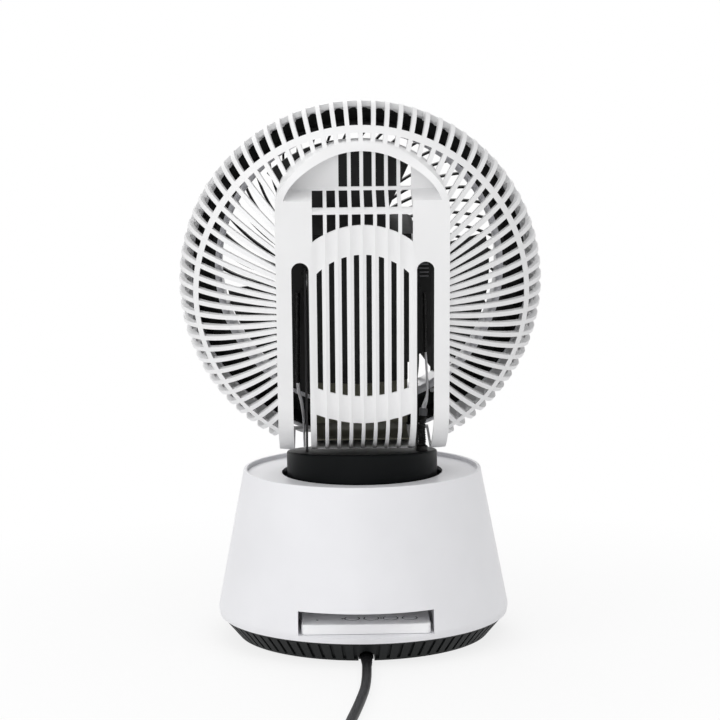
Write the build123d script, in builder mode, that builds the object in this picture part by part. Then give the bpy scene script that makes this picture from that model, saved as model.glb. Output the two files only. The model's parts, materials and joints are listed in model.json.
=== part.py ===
from build123d import *
from math import acos, asin, atan2, ceil, cos, degrees, hypot, pi, radians, sin, sqrt, tan
import os

os.makedirs("parts", exist_ok=True)

# A table-top air circulator. Up is +Z, the back of the fan faces +Y, and the
# origin is on the floor, on the axis that the head swings about.
# All sizes are in millimetres.

# Base housing, a truncated cone with a sunk deck
WALL = 2.5
FOOT_H = 1.6
SHELL_FOOT_Z = 16.1
SHELL_FOOT_R = 100.9
WIDE_R = 101.4
WIDE_Z = 21.5
RIM_R = 82.7
RIM_Z = 117.2
RIM_W = 2.4
DECK_Z = 114.2
HOLE_R = 56.2

# Base pan, the dark vented skirt below the housing
PAN_FOOT_R = 88.0
PAN_TOP_R = 100.2
PAN_FLOOR = 2.5
GROOVE_COUNT = 78
GROOVE_W = 2.3
GROOVE_DEPTH = 1.5
PLAIN_HALF_ANGLE = 16.5
NOTCH_W = 10.6
NOTCH_H = 8.2
NOTCH_IN_Y = 72.0
GLAND_T = 7.0
PAD_R = 7.0
PAD_RING_R = 72.0
PAD_COUNT = 5

# Remote control and its slot in the back wall
REMOTE_L = 86.0
REMOTE_W = 40.0
REMOTE_T = 6.5
REMOTE_Z = 20.0
REMOTE_BACK_Y = 89.0
SLOT_SIDE_GAP = 2.2
SLOT_TOP_Z = 35.7
TRAY_WALL = 1.8
SEAT_GAP = 0.3
KEY_COUNT = 4
KEY_PITCH = 12.9
KEY_OFFSET = 10.25
KEY_EDGE = 16.5
KEY_R = 4.4
KEY_H = 0.9
KEY_STROKE = 0.4
CELL_TRAY_W = 17.0
CELL_TRAY_L = 24.0
CELL_TRAY_T = 3.6

# Front buttons
BUTTON_COUNT = 4
BUTTON_R = 5.0
BUTTON_PITCH = 17.0
BUTTON_Z = 88.0
BUTTON_OUT = 1.2
BUTTON_GAP = 0.35
BUTTON_STROKE = 0.8
WINDOW_Z = 66.0
WINDOW_R = 4.5

# Swing drive and collar
PLATE_Z = 100.0
PLATE_T = 3.0
PLATE_R = 74.0
POST_R = 4.0
POST_RING_R = 66.0
SWING_MOTOR_R = 25.0
SWING_MOTOR_H = 22.0
SHAFT_R = 4.0
SHAFT_FIT = 0.06
COLLAR_R = 52.5
COLLAR_BACK_Z = 134.0
COLLAR_FRONT_Z = 124.3
COLLAR_WALL = 2.5

# Head: the tilt axis and the tilt at which the fan stands
PIVOT_Z = 248.0
TILT = 8.0

# Back guard, an ellipsoid of ribs on a round rim
GUARD_R = 125.0
GUARD_DEPTH = 90.0
RIB_COUNT = 82
RIB_T = 3.0
RIB_DEEP = 6.5
GUARD_RIM_R = 121.0
GUARD_RIM_W = 3.0
SPLIT_Z = -20.0
GUARD_RIM_BACK_Z = -3.0
RIB_END_Z = -15.0
BAND_R = 111.5
BAND_W = 3.8
BAND_T = 3.2

# Spine: the flat panel that runs down the middle of the back
SPINE_HALF = 56.6
SPINE_FACE_Z = 88.0
SPINE_WALL = 2.4
ARCH_BASE_Y = 66.0
ARCH_RISE = 36.0
ARCH_EDGE_Z = 52.0
FLAT_TOP_Y = 76.0
SWEEP_R = 116.4
SPINE_END_Z = 26.0
ROOM_R = 115.0
ROOM_DEPTH = 80.0
ROOM_FOOT_Y = -100.0

# Recess under the arch: its back wall, and the floor that slopes out of it
POCKET_Z = 60.0
POCKET_RIM = 4.4
POCKET_WALL = 2.2
POCKET_TOP_Y = 74.5
POCKET_SIDE_Y = 72.0
POCKET_MID_Y = 65.0

# Middle column of the spine: three rows of windows, flutes and two rows of slots
COLUMN_HALF = 32.6
BAR_COUNT = 8
BAR_PITCH = 8.1
WINDOW_W = 5.7
CLOSED_WINDOWS = 2
ROW_GAP = 1.2
CROSS_BAR = 2.6
FLUTE_TOP_Y = 56.3
FLUTE_SIDE_Y = 45.3
FLUTE_DEEP = 0.9
SLOT_W = 3.5
SLOT_TOP_Y = 36.8
SLOT_TOP_SIDE_Y = 21.6
SLOT_FOOT_Y = -58.8
SLOT_FOOT_SIDE_Y = -52.0
LOW_SLOT_W = 5.7
LOW_TOP_Y = -78.8
LOW_TOP_SIDE_Y = -70.5
LOW_FOOT_Y = -110.5
RAIL_T = 2.2

# Side slots of the spine, which the yoke's arms pass through
YOKE_SLOT_IN = 35.2
YOKE_SLOT_OUT = 46.5
YOKE_SLOT_TOP_Y = 32.0
YOKE_SLOT_FRONT_Z = -13.0

# Duct, bezel and front grille
DUCT_R = 97.5
DUCT_WALL = 2.2
DUCT_BACK_Z = -36.0
LIP_W = 3.4
SHROUD_Z = -46.0
SHROUD_T = 2.0
BEZEL_R = 119.5
BEZEL_STEP_Z = -26.0
BEZEL_SIDE_R = 118.4
BEZEL_SIDE_Z = -46.0
BEZEL_FRONT_R = 108.0
BEZEL_FRONT_Z = -64.0
BEZEL_WALL = 2.2
GRILLE_SEAT_Z = -60.0
GRILLE_RIM_W = 2.6
SPIRAL_COUNT = 48
SPIRAL_T = 1.6
SPIRAL_DEEP = 4.0
SPIRAL_TURN = 45.0
GRILLE_CROWN = 9.0
CAP_R = 24.0
CAP_RIM_W = 2.4
CAP_PROUD = 1.2

# Baffle behind the duct
BAFFLE_HALF = 33.0
BAFFLE_Z = -10.0
BAFFLE_T = 2.0
BAFFLE_TOP_Y = -68.0
BAFFLE_FOOT_Y = -106.0
BAFFLE_WEB = 13.0

# Fan and motor
BLADE_TIP_R = 93.0
HUB_R = 29.0
HUB_BACK_Z = -22.0
HUB_FRONT_Z = -50.0
HUB_WALL = 2.2
BLADE_COUNT = 3
BLADE_START = 340.0
BLADE_HALF_ANGLE = 34.0
BLADE_T = 2.0
BLADE_RISE = 15.0
BLADE_CAMBER = 3.5
MOTOR_SHAFT_R = 3.0
NUT_R = 8.0
NUT_H = 6.0
FRAME_HALF = 36.4
FRAME_BOTTOM_Y = -44.0
FRAME_TOP_Y = 44.0
FRAME_FRONT_Z = -11.0
FRAME_BACK_Z = 56.0
FRAME_WALL = 2.4
FRAME_CORNER_R = 4.0
MOTOR_R = 30.0
MOTOR_L = 42.0
BUSH_R = 8.0
BUSH_L = 5.0

# Yoke
ARM_IN = 37.5
ARM_T = 1.5
ARM_HALF = 11.0
ARM_TOP_HALF = 8.5
WEB_Z = 119.0
PIN_R = 4.0
PIN_FIT = 0.05
PIN_HEAD_R = 6.5
PIN_HEAD_T = 1.8
SIDE_PLAY = 0.3
SLEEVE_R = 2.6
YOKE_BOSS_X = 22.0
SLEEVE_X = -41.4
SLEEVE_Y = 15.5

# Mains cord, its coil and its plug
CORD_R = 3.2
CORD_Z = 3.2
CORD_BEND = 0.45
LOOP_GAP = 0.9
COIL_IN_R = 28.0
COIL_ROUNDS = 5
COIL_Y = 316.0
COIL_TAIL = 20.0
PLUG_L = 32.0
PLUG_W = 25.0
RELIEF_L = 16.0
RELIEF_WALL = 1.6
PIN_L = 17.0
PIN_W = 6.3
PIN_T = 1.5
PIN_PITCH = 12.7


def finish(builder, name):
    builder.part.label = name
    export_step(builder.part, f"parts/{name}.step")


def wall_radius(z):
    # Outer radius of the housing's cone at height z
    return WIDE_R - (z - WIDE_Z) * (WIDE_R - RIM_R) / (RIM_Z - WIDE_Z)


# Base housing
DECK_T = WALL
UNDER_DECK_Z = DECK_Z - DECK_T
with BuildPart() as base_shell:
    with BuildSketch(Plane.XZ):
        with BuildLine():
            Polyline(
                (SHELL_FOOT_R - WALL, SHELL_FOOT_Z),
                (SHELL_FOOT_R, SHELL_FOOT_Z),
            )
            Spline(
                (SHELL_FOOT_R, SHELL_FOOT_Z),
                (WIDE_R, WIDE_Z),
                tangents=[(0.2, 1), (RIM_R - WIDE_R, RIM_Z - WIDE_Z)],
            )
            Polyline(
                (WIDE_R, WIDE_Z),
                (RIM_R, RIM_Z),
                (RIM_R - RIM_W, RIM_Z),
                (RIM_R - RIM_W, DECK_Z),
                (HOLE_R, DECK_Z),
                (HOLE_R, UNDER_DECK_Z),
                (wall_radius(UNDER_DECK_Z) - WALL, UNDER_DECK_Z),
                (SHELL_FOOT_R - WALL, WIDE_Z),
                (SHELL_FOOT_R - WALL, SHELL_FOOT_Z),
            )
        make_face()
    revolve(axis=Axis.Z)
    rim_edges = base_shell.edges().filter_by(GeomType.CIRCLE).group_by(Axis.Z)[-1]
    fillet(rim_edges, 0.8)
    # Opening of the remote's slot
    slot_half = REMOTE_L / 2 + SLOT_SIDE_GAP
    slot_floor_z = REMOTE_Z - SEAT_GAP
    with BuildSketch(Plane.XZ):
        with Locations((0, (slot_floor_z + SLOT_TOP_Z) / 2)):
            Rectangle(2 * slot_half, SLOT_TOP_Z - slot_floor_z)
    extrude(amount=-2 * WIDE_R, mode=Mode.SUBTRACT)
    # Holes for the front buttons
    with BuildSketch(Plane.XZ):
        with Locations((0, BUTTON_Z)):
            with GridLocations(BUTTON_PITCH, 1, BUTTON_COUNT, 1):
                Circle(BUTTON_R + BUTTON_GAP)
        with Locations((0, WINDOW_Z)):
            Circle(WINDOW_R)
    extrude(amount=2 * WIDE_R, mode=Mode.SUBTRACT)
finish(base_shell, "base_shell")

# Base pan with its ring of grooves and the notch for the cord
PAN_SLOPE = degrees(atan2(PAN_TOP_R - PAN_FOOT_R, SHELL_FOOT_Z - FOOT_H))
PAN_WALL = 3.2
with BuildPart() as base_pan:
    with BuildSketch(Plane.XZ):
        with BuildLine():
            Polyline(
                (0, FOOT_H),
                (PAN_FOOT_R, FOOT_H),
                (PAN_TOP_R, SHELL_FOOT_Z),
                (PAN_TOP_R - PAN_WALL, SHELL_FOOT_Z),
                (PAN_FOOT_R - PAN_WALL, FOOT_H + PAN_FLOOR),
                (0, FOOT_H + PAN_FLOOR),
                (0, FOOT_H),
            )
        make_face()
    revolve(axis=Axis.Z)
    groove_step = 360 / GROOVE_COUNT
    skipped = ceil(PLAIN_HALF_ANGLE / groove_step)
    groove_run = groove_step * (GROOVE_COUNT - 2 * skipped)
    mid_r = (PAN_FOOT_R + PAN_TOP_R) / 2
    mid_z = (FOOT_H + SHELL_FOOT_Z) / 2
    groove_len = 0.8 * hypot(PAN_TOP_R - PAN_FOOT_R, SHELL_FOOT_Z - FOOT_H)
    with Locations((0, 0, mid_z)):
        with PolarLocations(mid_r, GROOVE_COUNT - 2 * skipped + 1, 90 + skipped * groove_step, groove_run):
            Box(
                2 * GROOVE_DEPTH,
                GROOVE_W,
                groove_len,
                rotation=(0, PAN_SLOPE, 0),
                mode=Mode.SUBTRACT,
            )
    # Arched notch at the back, where the cord comes out
    with BuildSketch(Plane.XZ.offset(-NOTCH_IN_Y)):
        with Locations((0, FOOT_H + (NOTCH_H - NOTCH_W / 2) / 2)):
            Rectangle(NOTCH_W, NOTCH_H - NOTCH_W / 2)
        with Locations((0, FOOT_H + NOTCH_H - NOTCH_W / 2)):
            Circle(NOTCH_W / 2)
    extrude(amount=-PAN_TOP_R, mode=Mode.SUBTRACT)
finish(base_pan, "base_pan")

# Soft pads under the pan
with BuildPart() as foot_pads:
    with BuildSketch():
        with PolarLocations(PAD_RING_R, PAD_COUNT, -90):
            Circle(PAD_R)
    extrude(amount=FOOT_H)
finish(foot_pads, "foot_pads")

# Steel ballast disc on the floor of the pan
FLOOR_TOP_Z = FOOT_H + PAN_FLOOR
BALLAST_R = 46.0
BALLAST_T = 8.0
BALLAST_Y = -26.0
with BuildPart() as ballast:
    with BuildSketch(Plane.XY.offset(FLOOR_TOP_Z)):
        with Locations((0, BALLAST_Y)):
            Circle(BALLAST_R)
            Circle(BALLAST_R / 4, mode=Mode.SUBTRACT)
    extrude(amount=BALLAST_T)
    chamfer(ballast.edges().group_by(Axis.Z)[-1], 0.8)
finish(ballast, "ballast")

# Tray that the remote lies in, open at the back
TRAY_IN_Y = REMOTE_BACK_Y - REMOTE_W - 1.0
tray_skin = 0.1
with BuildPart() as remote_tray:
    with BuildSketch(Plane.XZ.offset(-(TRAY_IN_Y - TRAY_WALL))):
        with Locations((0, (slot_floor_z + SLOT_TOP_Z) / 2)):
            Rectangle(
                2 * (slot_half + TRAY_WALL),
                SLOT_TOP_Z - slot_floor_z + 2 * TRAY_WALL,
            )
    extrude(amount=-WIDE_R)
    with BuildSketch(Plane.XZ.offset(-TRAY_IN_Y)):
        with Locations((0, (slot_floor_z + SLOT_TOP_Z) / 2)):
            Rectangle(2 * slot_half, SLOT_TOP_Z - slot_floor_z)
    extrude(amount=-WIDE_R, mode=Mode.SUBTRACT)
    # The mouth follows the inside of the housing
    with BuildSketch(Plane.XZ):
        with BuildLine():
            Polyline(
                (0, SHELL_FOOT_Z),
                (SHELL_FOOT_R - WALL - tray_skin, SHELL_FOOT_Z),
                (SHELL_FOOT_R - WALL - tray_skin, WIDE_Z),
                (wall_radius(UNDER_DECK_Z) - WALL - tray_skin, UNDER_DECK_Z),
                (0, UNDER_DECK_Z),
                (0, SHELL_FOOT_Z),
            )
        make_face()
    revolve(axis=Axis.Z, mode=Mode.INTERSECT)
finish(remote_tray, "remote_tray")

# Round plate that the head swings on, hung from the deck by three posts
with BuildPart() as swing_plate:
    with BuildSketch(Plane.XY.offset(PLATE_Z)):
        Circle(PLATE_R)
        with PolarLocations(PLATE_R, 3, 90):
            Circle(PLATE_R / 4, mode=Mode.SUBTRACT)
        Circle(SHAFT_R + 2, mode=Mode.SUBTRACT)
    extrude(amount=PLATE_T)
    with BuildSketch(Plane.XY.offset(PLATE_Z + PLATE_T)):
        with PolarLocations(POST_RING_R, 3, 30):
            Circle(POST_R)
    extrude(amount=UNDER_DECK_Z - PLATE_Z - PLATE_T)
finish(swing_plate, "swing_plate")

# Geared swing motor under the plate, with the bore its shaft turns in
MOTOR_EAR_T = 3.0
MOTOR_EAR_SPAN = 2 * SWING_MOTOR_R + 8
with BuildPart() as swing_motor:
    with BuildSketch(Plane.XY.offset(PLATE_Z - SWING_MOTOR_H)):
        Circle(SWING_MOTOR_R)
    extrude(amount=SWING_MOTOR_H)
    chamfer(swing_motor.edges().group_by(Axis.Z)[0], 1.0)
    with BuildSketch(Plane.XY.offset(PLATE_Z - MOTOR_EAR_T)):
        with GridLocations(MOTOR_EAR_SPAN, 1, 2, 1):
            Circle(POST_R)
        Rectangle(MOTOR_EAR_SPAN, 2 * POST_R)
    extrude(amount=MOTOR_EAR_T)
    with Locations((0, 0, PLATE_Z)):
        Hole(SHAFT_R + SHAFT_FIT)
finish(swing_motor, "swing_motor")

# Control board behind the front buttons, hanging from the plate
BOARD_T = 1.6
BOARD_W = 76.0
BOARD_H = 26.0
BOARD_SETBACK = 16.0
BOARD_Y = -(wall_radius(BUTTON_Z) - BOARD_SETBACK)
with BuildPart() as control_board:
    with BuildSketch(Plane.XZ.offset(-BOARD_Y)):
        with Locations((0, PLATE_Z - BOARD_H / 2)):
            Rectangle(BOARD_W, BOARD_H)
    extrude(amount=-BOARD_T)
finish(control_board, "control_board")

# Front buttons in a row, each a round push with a collar behind the wall
BUTTON_XS = [BUTTON_PITCH * (i - (BUTTON_COUNT - 1) / 2) for i in range(BUTTON_COUNT)]
BUTTON_NAMES = ["power", "speed", "swing", "timer"]
BUTTON_COLLAR_R = BUTTON_R + 1.3
BUTTON_COLLAR_T = 1.2
BUTTON_COLLAR_BACK = 6.8
for button_x, button_name in zip(BUTTON_XS, BUTTON_NAMES):
    face_y = -sqrt(wall_radius(BUTTON_Z) ** 2 - button_x**2)
    button_end_y = BOARD_Y - BUTTON_STROKE - SEAT_GAP
    with BuildPart() as push_button:
        with BuildSketch(Plane.XZ.offset(-face_y + BUTTON_OUT)):
            with Locations((button_x, BUTTON_Z)):
                Circle(BUTTON_R)
        extrude(amount=face_y - BUTTON_OUT - button_end_y)
        fillet(push_button.edges().group_by(Axis.Y)[0], 0.8)
        with BuildSketch(Plane.XZ.offset(-face_y - BUTTON_COLLAR_BACK)):
            with Locations((button_x, BUTTON_Z)):
                Circle(BUTTON_COLLAR_R)
        extrude(amount=-BUTTON_COLLAR_T)
    finish(push_button, f"button_{button_name}")

# Dark window for the remote's signal, let into the front of the housing
with BuildPart() as signal_window:
    with BuildSketch(Plane.XZ):
        with Locations((0, WINDOW_Z)):
            Circle(WINDOW_R)
    extrude(amount=2 * WIDE_R)
    with BuildSketch(Plane.XZ):
        with BuildLine():
            Polyline(
                (wall_radius(WINDOW_Z - 10) - WALL, WINDOW_Z - 10),
                (wall_radius(WINDOW_Z - 10), WINDOW_Z - 10),
                (wall_radius(WINDOW_Z + 10), WINDOW_Z + 10),
                (wall_radius(WINDOW_Z + 10) - WALL, WINDOW_Z + 10),
                (wall_radius(WINDOW_Z - 10) - WALL, WINDOW_Z - 10),
            )
        make_face()
    revolve(axis=Axis.Z, mode=Mode.INTERSECT)
finish(signal_window, "signal_window")

# Remote control, a thin card with round keys along its outer edge
remote_mid_y = REMOTE_BACK_Y - REMOTE_W / 2
key_y = REMOTE_BACK_Y - KEY_EDGE
KEY_XS = [-(KEY_OFFSET + KEY_PITCH * (i - (KEY_COUNT - 1) / 2)) for i in range(KEY_COUNT)]
KEY_WELL = KEY_H + KEY_STROKE + 0.3
KEY_SLIP = 0.3
CELL_X = REMOTE_L / 2
with BuildPart() as remote_body:
    with BuildSketch(Plane.XY.offset(REMOTE_Z)):
        with Locations((0, remote_mid_y)):
            RectangleRounded(REMOTE_L, REMOTE_W, 3.0)
    extrude(amount=REMOTE_T)
    fillet(remote_body.edges().group_by(Axis.Z)[-1], 0.9)
    with BuildSketch(Plane.XY.offset(REMOTE_Z + REMOTE_T)):
        for key_x in KEY_XS:
            with Locations((key_x, key_y)):
                Circle(KEY_R + KEY_SLIP)
    extrude(amount=-KEY_WELL, mode=Mode.SUBTRACT)
    # Slot for the battery tray in the short side
    with Locations((CELL_X - CELL_TRAY_L / 2, remote_mid_y, REMOTE_Z + REMOTE_T / 2 - 0.6)):
        Box(
            CELL_TRAY_L + 2 * SEAT_GAP,
            CELL_TRAY_W + 2 * SEAT_GAP,
            CELL_TRAY_T + 2 * SEAT_GAP,
            mode=Mode.SUBTRACT,
        )
finish(remote_body, "remote_body")

for number, key_x in enumerate(KEY_XS, start=1):
    with BuildPart() as remote_key:
        with BuildSketch(Plane.XY.offset(REMOTE_Z + REMOTE_T - KEY_H)):
            with Locations((key_x, key_y)):
                Circle(KEY_R)
        extrude(amount=KEY_H + KEY_STROKE)
        fillet(remote_key.edges().group_by(Axis.Z)[-1], 0.35)
    finish(remote_key, f"remote_key_{number}")

# Sliding tray for the remote's button cell, with the cell in it
CELL_R = 7.6
CELL_T = 2.5
with BuildPart() as cell_tray:
    with Locations((CELL_X - CELL_TRAY_L / 2, remote_mid_y, REMOTE_Z + REMOTE_T / 2 - 0.6)):
        Box(CELL_TRAY_L, CELL_TRAY_W, CELL_TRAY_T)
    with Locations((CELL_X - CELL_TRAY_L / 2, remote_mid_y, REMOTE_Z + REMOTE_T / 2 - 0.6 + CELL_TRAY_T / 2)):
        Cylinder(
            CELL_R,
            CELL_T,
            align=(Align.CENTER, Align.CENTER, Align.MAX),
            mode=Mode.SUBTRACT,
        )
finish(cell_tray, "cell_tray")

with BuildPart() as button_cell:
    cell_floor = REMOTE_Z + REMOTE_T / 2 - 0.6 + CELL_TRAY_T / 2 - CELL_T
    with Locations((CELL_X - CELL_TRAY_L / 2, remote_mid_y, cell_floor)):
        Cylinder(CELL_R - 0.1, CELL_T - 0.2, align=(Align.CENTER, Align.CENTER, Align.MIN))
finish(button_cell, "button_cell")

# Collar, the dark drum that turns on the base and carries the yoke.
# Its top slopes down to the front, so that the head clears it.
COLLAR_FOOT_Z = PLATE_Z + PLATE_T + SEAT_GAP
COLLAR_SLOPE = degrees(atan2(COLLAR_BACK_Z - COLLAR_FRONT_Z, 2 * COLLAR_R))
COLLAR_MID_Z = (COLLAR_BACK_Z + COLLAR_FRONT_Z) / 2
ARM_SLOT_GAP = 0.25
HUB_BOSS_R = 9.0
SHAFT_TOP_Z = COLLAR_FOOT_Z + 8.0
collar_top = Plane(
    origin=(0, 0, COLLAR_MID_Z),
    x_dir=(1, 0, 0),
    z_dir=(0, -sin(radians(COLLAR_SLOPE)), cos(radians(COLLAR_SLOPE))),
)
arm_mid = ARM_IN + ARM_T / 2
# Hollow of the collar below its sloping top
with BuildPart() as collar_core:
    with BuildSketch(Plane.XY.offset(COLLAR_FOOT_Z)):
        Circle(COLLAR_R - COLLAR_WALL)
    extrude(amount=COLLAR_BACK_Z - COLLAR_FOOT_Z)
    split(bisect_by=collar_top.offset(-COLLAR_WALL), keep=Keep.BOTTOM)

# Hub for the shaft and two bosses for the yoke's web, up to the top
with BuildPart() as collar_bosses:
    with BuildSketch(Plane.XY.offset(SHAFT_TOP_Z)):
        Circle(HUB_BOSS_R)
    extrude(amount=COLLAR_BACK_Z - SHAFT_TOP_Z)
    with BuildSketch(Plane.XY.offset(WEB_Z + ARM_T)):
        with GridLocations(2 * YOKE_BOSS_X, 1, 2, 1):
            Circle(POST_R)
    extrude(amount=COLLAR_BACK_Z - WEB_Z)
    split(bisect_by=collar_top.offset(-COLLAR_WALL / 2), keep=Keep.BOTTOM)

with BuildPart() as collar:
    with BuildSketch(Plane.XY.offset(COLLAR_FOOT_Z)):
        Circle(COLLAR_R)
    extrude(amount=COLLAR_BACK_Z - COLLAR_FOOT_Z + COLLAR_WALL)
    split(bisect_by=collar_top, keep=Keep.BOTTOM)
    fillet(collar.edges().filter_by(GeomType.ELLIPSE), 1.6)
    add(collar_core.part, mode=Mode.SUBTRACT)
    add(collar_bosses.part)
    # Slits that the arms of the yoke come up through
    with BuildSketch(Plane.XY.offset(WEB_Z)):
        with GridLocations(2 * arm_mid, 1, 2, 1):
            Rectangle(ARM_T + 2 * ARM_SLOT_GAP, 2 * (ARM_HALF + ARM_SLOT_GAP))
    extrude(amount=COLLAR_BACK_Z - WEB_Z, mode=Mode.SUBTRACT)
finish(collar, "collar")

# Steel shaft from the collar down into the swing motor
with BuildPart() as swing_shaft:
    with BuildSketch(Plane.XY.offset(PLATE_Z - SWING_MOTOR_H + 2)):
        Circle(SHAFT_R)
    extrude(amount=SHAFT_TOP_Z - PLATE_Z + SWING_MOTOR_H - 2)
    with BuildSketch(Plane.XY.offset(COLLAR_FOOT_Z + 3)):
        Circle(HUB_BOSS_R)
    extrude(amount=SHAFT_TOP_Z - COLLAR_FOOT_Z - 3)
finish(swing_shaft, "swing_shaft")

# Yoke, a strip of sheet steel bent to a U, with an eye at each end
with BuildPart() as yoke:
    with BuildSketch(Plane.XY.offset(WEB_Z)):
        Rectangle(2 * (ARM_IN + ARM_T), 2 * ARM_HALF)
        Circle(HUB_BOSS_R + 0.5, mode=Mode.SUBTRACT)
    extrude(amount=ARM_T)
    for side in (-1, 1):
        with BuildSketch(Plane.YZ.offset(side * ARM_IN)):
            with BuildLine():
                Polyline(
                    (-ARM_TOP_HALF, PIVOT_Z),
                    (-ARM_HALF, WEB_Z),
                    (ARM_HALF, WEB_Z),
                    (ARM_TOP_HALF, PIVOT_Z),
                )
                ThreePointArc(
                    (ARM_TOP_HALF, PIVOT_Z),
                    (0, PIVOT_Z + ARM_TOP_HALF),
                    (-ARM_TOP_HALF, PIVOT_Z),
                )
            make_face()
            with Locations((0, PIVOT_Z)):
                Circle(PIN_R + PIN_FIT, mode=Mode.SUBTRACT)
        extrude(amount=side * ARM_T)
finish(yoke, "yoke")

# Cable sleeve beside the yoke, in its stepped foot on the collar
SLEEVE_TOP_Z = 168.0
SLEEVE_FOOT_H = 9.0
sleeve_foot_z = COLLAR_MID_Z + SLEEVE_Y * tan(radians(COLLAR_SLOPE))
with BuildPart() as cable_sleeve:
    with BuildSketch(Plane.XY.offset(sleeve_foot_z - 6)):
        with Locations((SLEEVE_X, SLEEVE_Y)):
            Circle(SLEEVE_R)
    extrude(amount=SLEEVE_TOP_Z - sleeve_foot_z + 6)
    with BuildSketch(Plane.XY.offset(sleeve_foot_z - 2)):
        with Locations((SLEEVE_X, SLEEVE_Y)):
            Circle(SLEEVE_R + 1.7)
    extrude(amount=SLEEVE_FOOT_H)
    split(bisect_by=collar_top, keep=Keep.TOP)
finish(cable_sleeve, "cable_sleeve")

# Planes of the head. In the head's own frame x is to the right as seen from
# behind, y is up and z runs backwards along the fan's axis.
tilt = radians(TILT)
HEAD = Plane(origin=(0, 0, PIVOT_Z), x_dir=(-1, 0, 0), z_dir=(0, cos(tilt), -sin(tilt)))
HEAD_TURN = Plane(origin=HEAD.origin, x_dir=HEAD.x_dir, z_dir=-HEAD.y_dir)
HEAD_SIDE = Plane(origin=HEAD.origin, x_dir=HEAD.y_dir, z_dir=HEAD.x_dir)
HEAD_AXIS = Axis(HEAD.origin, HEAD.z_dir)
TILT_AXIS = Axis(HEAD.origin, HEAD.x_dir)


def dome_z(r, radius, depth):
    # Height of an ellipse with the given half axes at radius r
    return depth * sqrt(1 - (r / radius) ** 2)


def arch_face(inset):
    # Outline of the spine seen from behind: straight sides below an elliptic arch
    half = SPINE_HALF - inset
    with BuildSketch(mode=Mode.PRIVATE) as outline:
        with BuildLine():
            Polyline((-half, ARCH_BASE_Y), (-half, -GUARD_R), (half, -GUARD_R), (half, ARCH_BASE_Y))
            EllipticalCenterArc((0, ARCH_BASE_Y), half, ARCH_RISE - inset, 0, arc_size=180)
        make_face()
    return outline.sketch


def side_face(inset):
    # Side view of the spine: flat face, sloping top and an arc about the tilt axis
    face = SPINE_FACE_Z - inset
    sweep = SWEEP_R - inset
    corner = -sqrt(sweep**2 - face**2)
    end = -sqrt(sweep**2 - SPINE_END_Z**2)
    bend = (atan2(face, corner) + atan2(SPINE_END_Z, end)) / 2
    top = ARCH_BASE_Y + ARCH_RISE
    edge = ARCH_EDGE_Z - inset
    with BuildSketch(mode=Mode.PRIVATE) as outline:
        with BuildLine():
            ThreePointArc(
                (end, SPINE_END_Z),
                (sweep * cos(bend), sweep * sin(bend)),
                (corner, face),
            )
            Line((corner, face), (FLAT_TOP_Y, face))
            Spline((FLAT_TOP_Y, face), (top, edge), tangents=[(1, 0), (0.75, -1)])
            Polyline((top, edge), (top, SPLIT_Z), (end, SPLIT_Z), (end, SPINE_END_Z))
        make_face()
    return outline.sketch


def column_face(width, top_mid, top_side, foot_mid, foot_side):
    # A row of slots in the spine's column, its upper and lower ends on two arcs
    with BuildSketch(mode=Mode.PRIVATE) as row:
        with BuildLine():
            ThreePointArc((COLUMN_HALF, top_side), (0, top_mid), (-COLUMN_HALF, top_side))
            Line((-COLUMN_HALF, top_side), (-COLUMN_HALF, foot_side))
            ThreePointArc((-COLUMN_HALF, foot_side), (0, foot_mid), (COLUMN_HALF, foot_side))
            Line((COLUMN_HALF, foot_side), (COLUMN_HALF, top_side))
        make_face()
        with GridLocations(BAR_PITCH, 1, BAR_COUNT + 1, 1):
            Rectangle(BAR_PITCH - width, 2 * GUARD_R, mode=Mode.SUBTRACT)
    return row.sketch


# Space inside the guard, down to just above the foot of the spine
with BuildPart() as guard_room:
    with BuildSketch(HEAD_TURN):
        with BuildLine():
            EllipticalCenterArc((0, 0), ROOM_R, ROOM_DEPTH, 0, arc_size=90)
            Polyline((0, ROOM_DEPTH), (0, SPLIT_Z), (ROOM_R, SPLIT_Z), (ROOM_R, 0))
        make_face()
    revolve(axis=HEAD_AXIS)
    with BuildSketch(HEAD.offset(SPLIT_Z)):
        with Locations((0, ROOM_FOOT_Y)):
            Rectangle(2 * GUARD_R, 2 * GUARD_R, align=(Align.CENTER, Align.MIN))
    extrude(amount=GUARD_R, mode=Mode.INTERSECT)

# Hollow of the spine
with BuildPart() as spine_core:
    with BuildSketch(HEAD.offset(SPLIT_Z)):
        add(arch_face(SPINE_WALL))
    extrude(amount=SPINE_FACE_Z - SPLIT_Z)
    with BuildSketch(HEAD_SIDE.offset(-SPINE_HALF)):
        add(side_face(SPINE_WALL))
    extrude(amount=2 * SPINE_HALF, mode=Mode.INTERSECT)

# Block behind the recess under the arch
with BuildPart() as recess_block:
    with BuildSketch(HEAD_SIDE.offset(-SPINE_HALF)):
        with BuildLine():
            Polyline(
                (POCKET_TOP_Y - POCKET_WALL, POCKET_Z - POCKET_WALL),
                (POCKET_MID_Y - POCKET_WALL, SPINE_FACE_Z),
                (GUARD_R, SPINE_FACE_Z),
                (GUARD_R, POCKET_Z - POCKET_WALL),
                close=True,
            )
        make_face()
    extrude(amount=2 * SPINE_HALF)
    with BuildSketch(HEAD):
        add(arch_face(SPINE_WALL / 2))
    extrude(amount=GUARD_R, mode=Mode.INTERSECT)
    with BuildSketch(HEAD_SIDE.offset(-SPINE_HALF)):
        add(side_face(0))
    extrude(amount=2 * SPINE_HALF, mode=Mode.INTERSECT)

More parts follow.
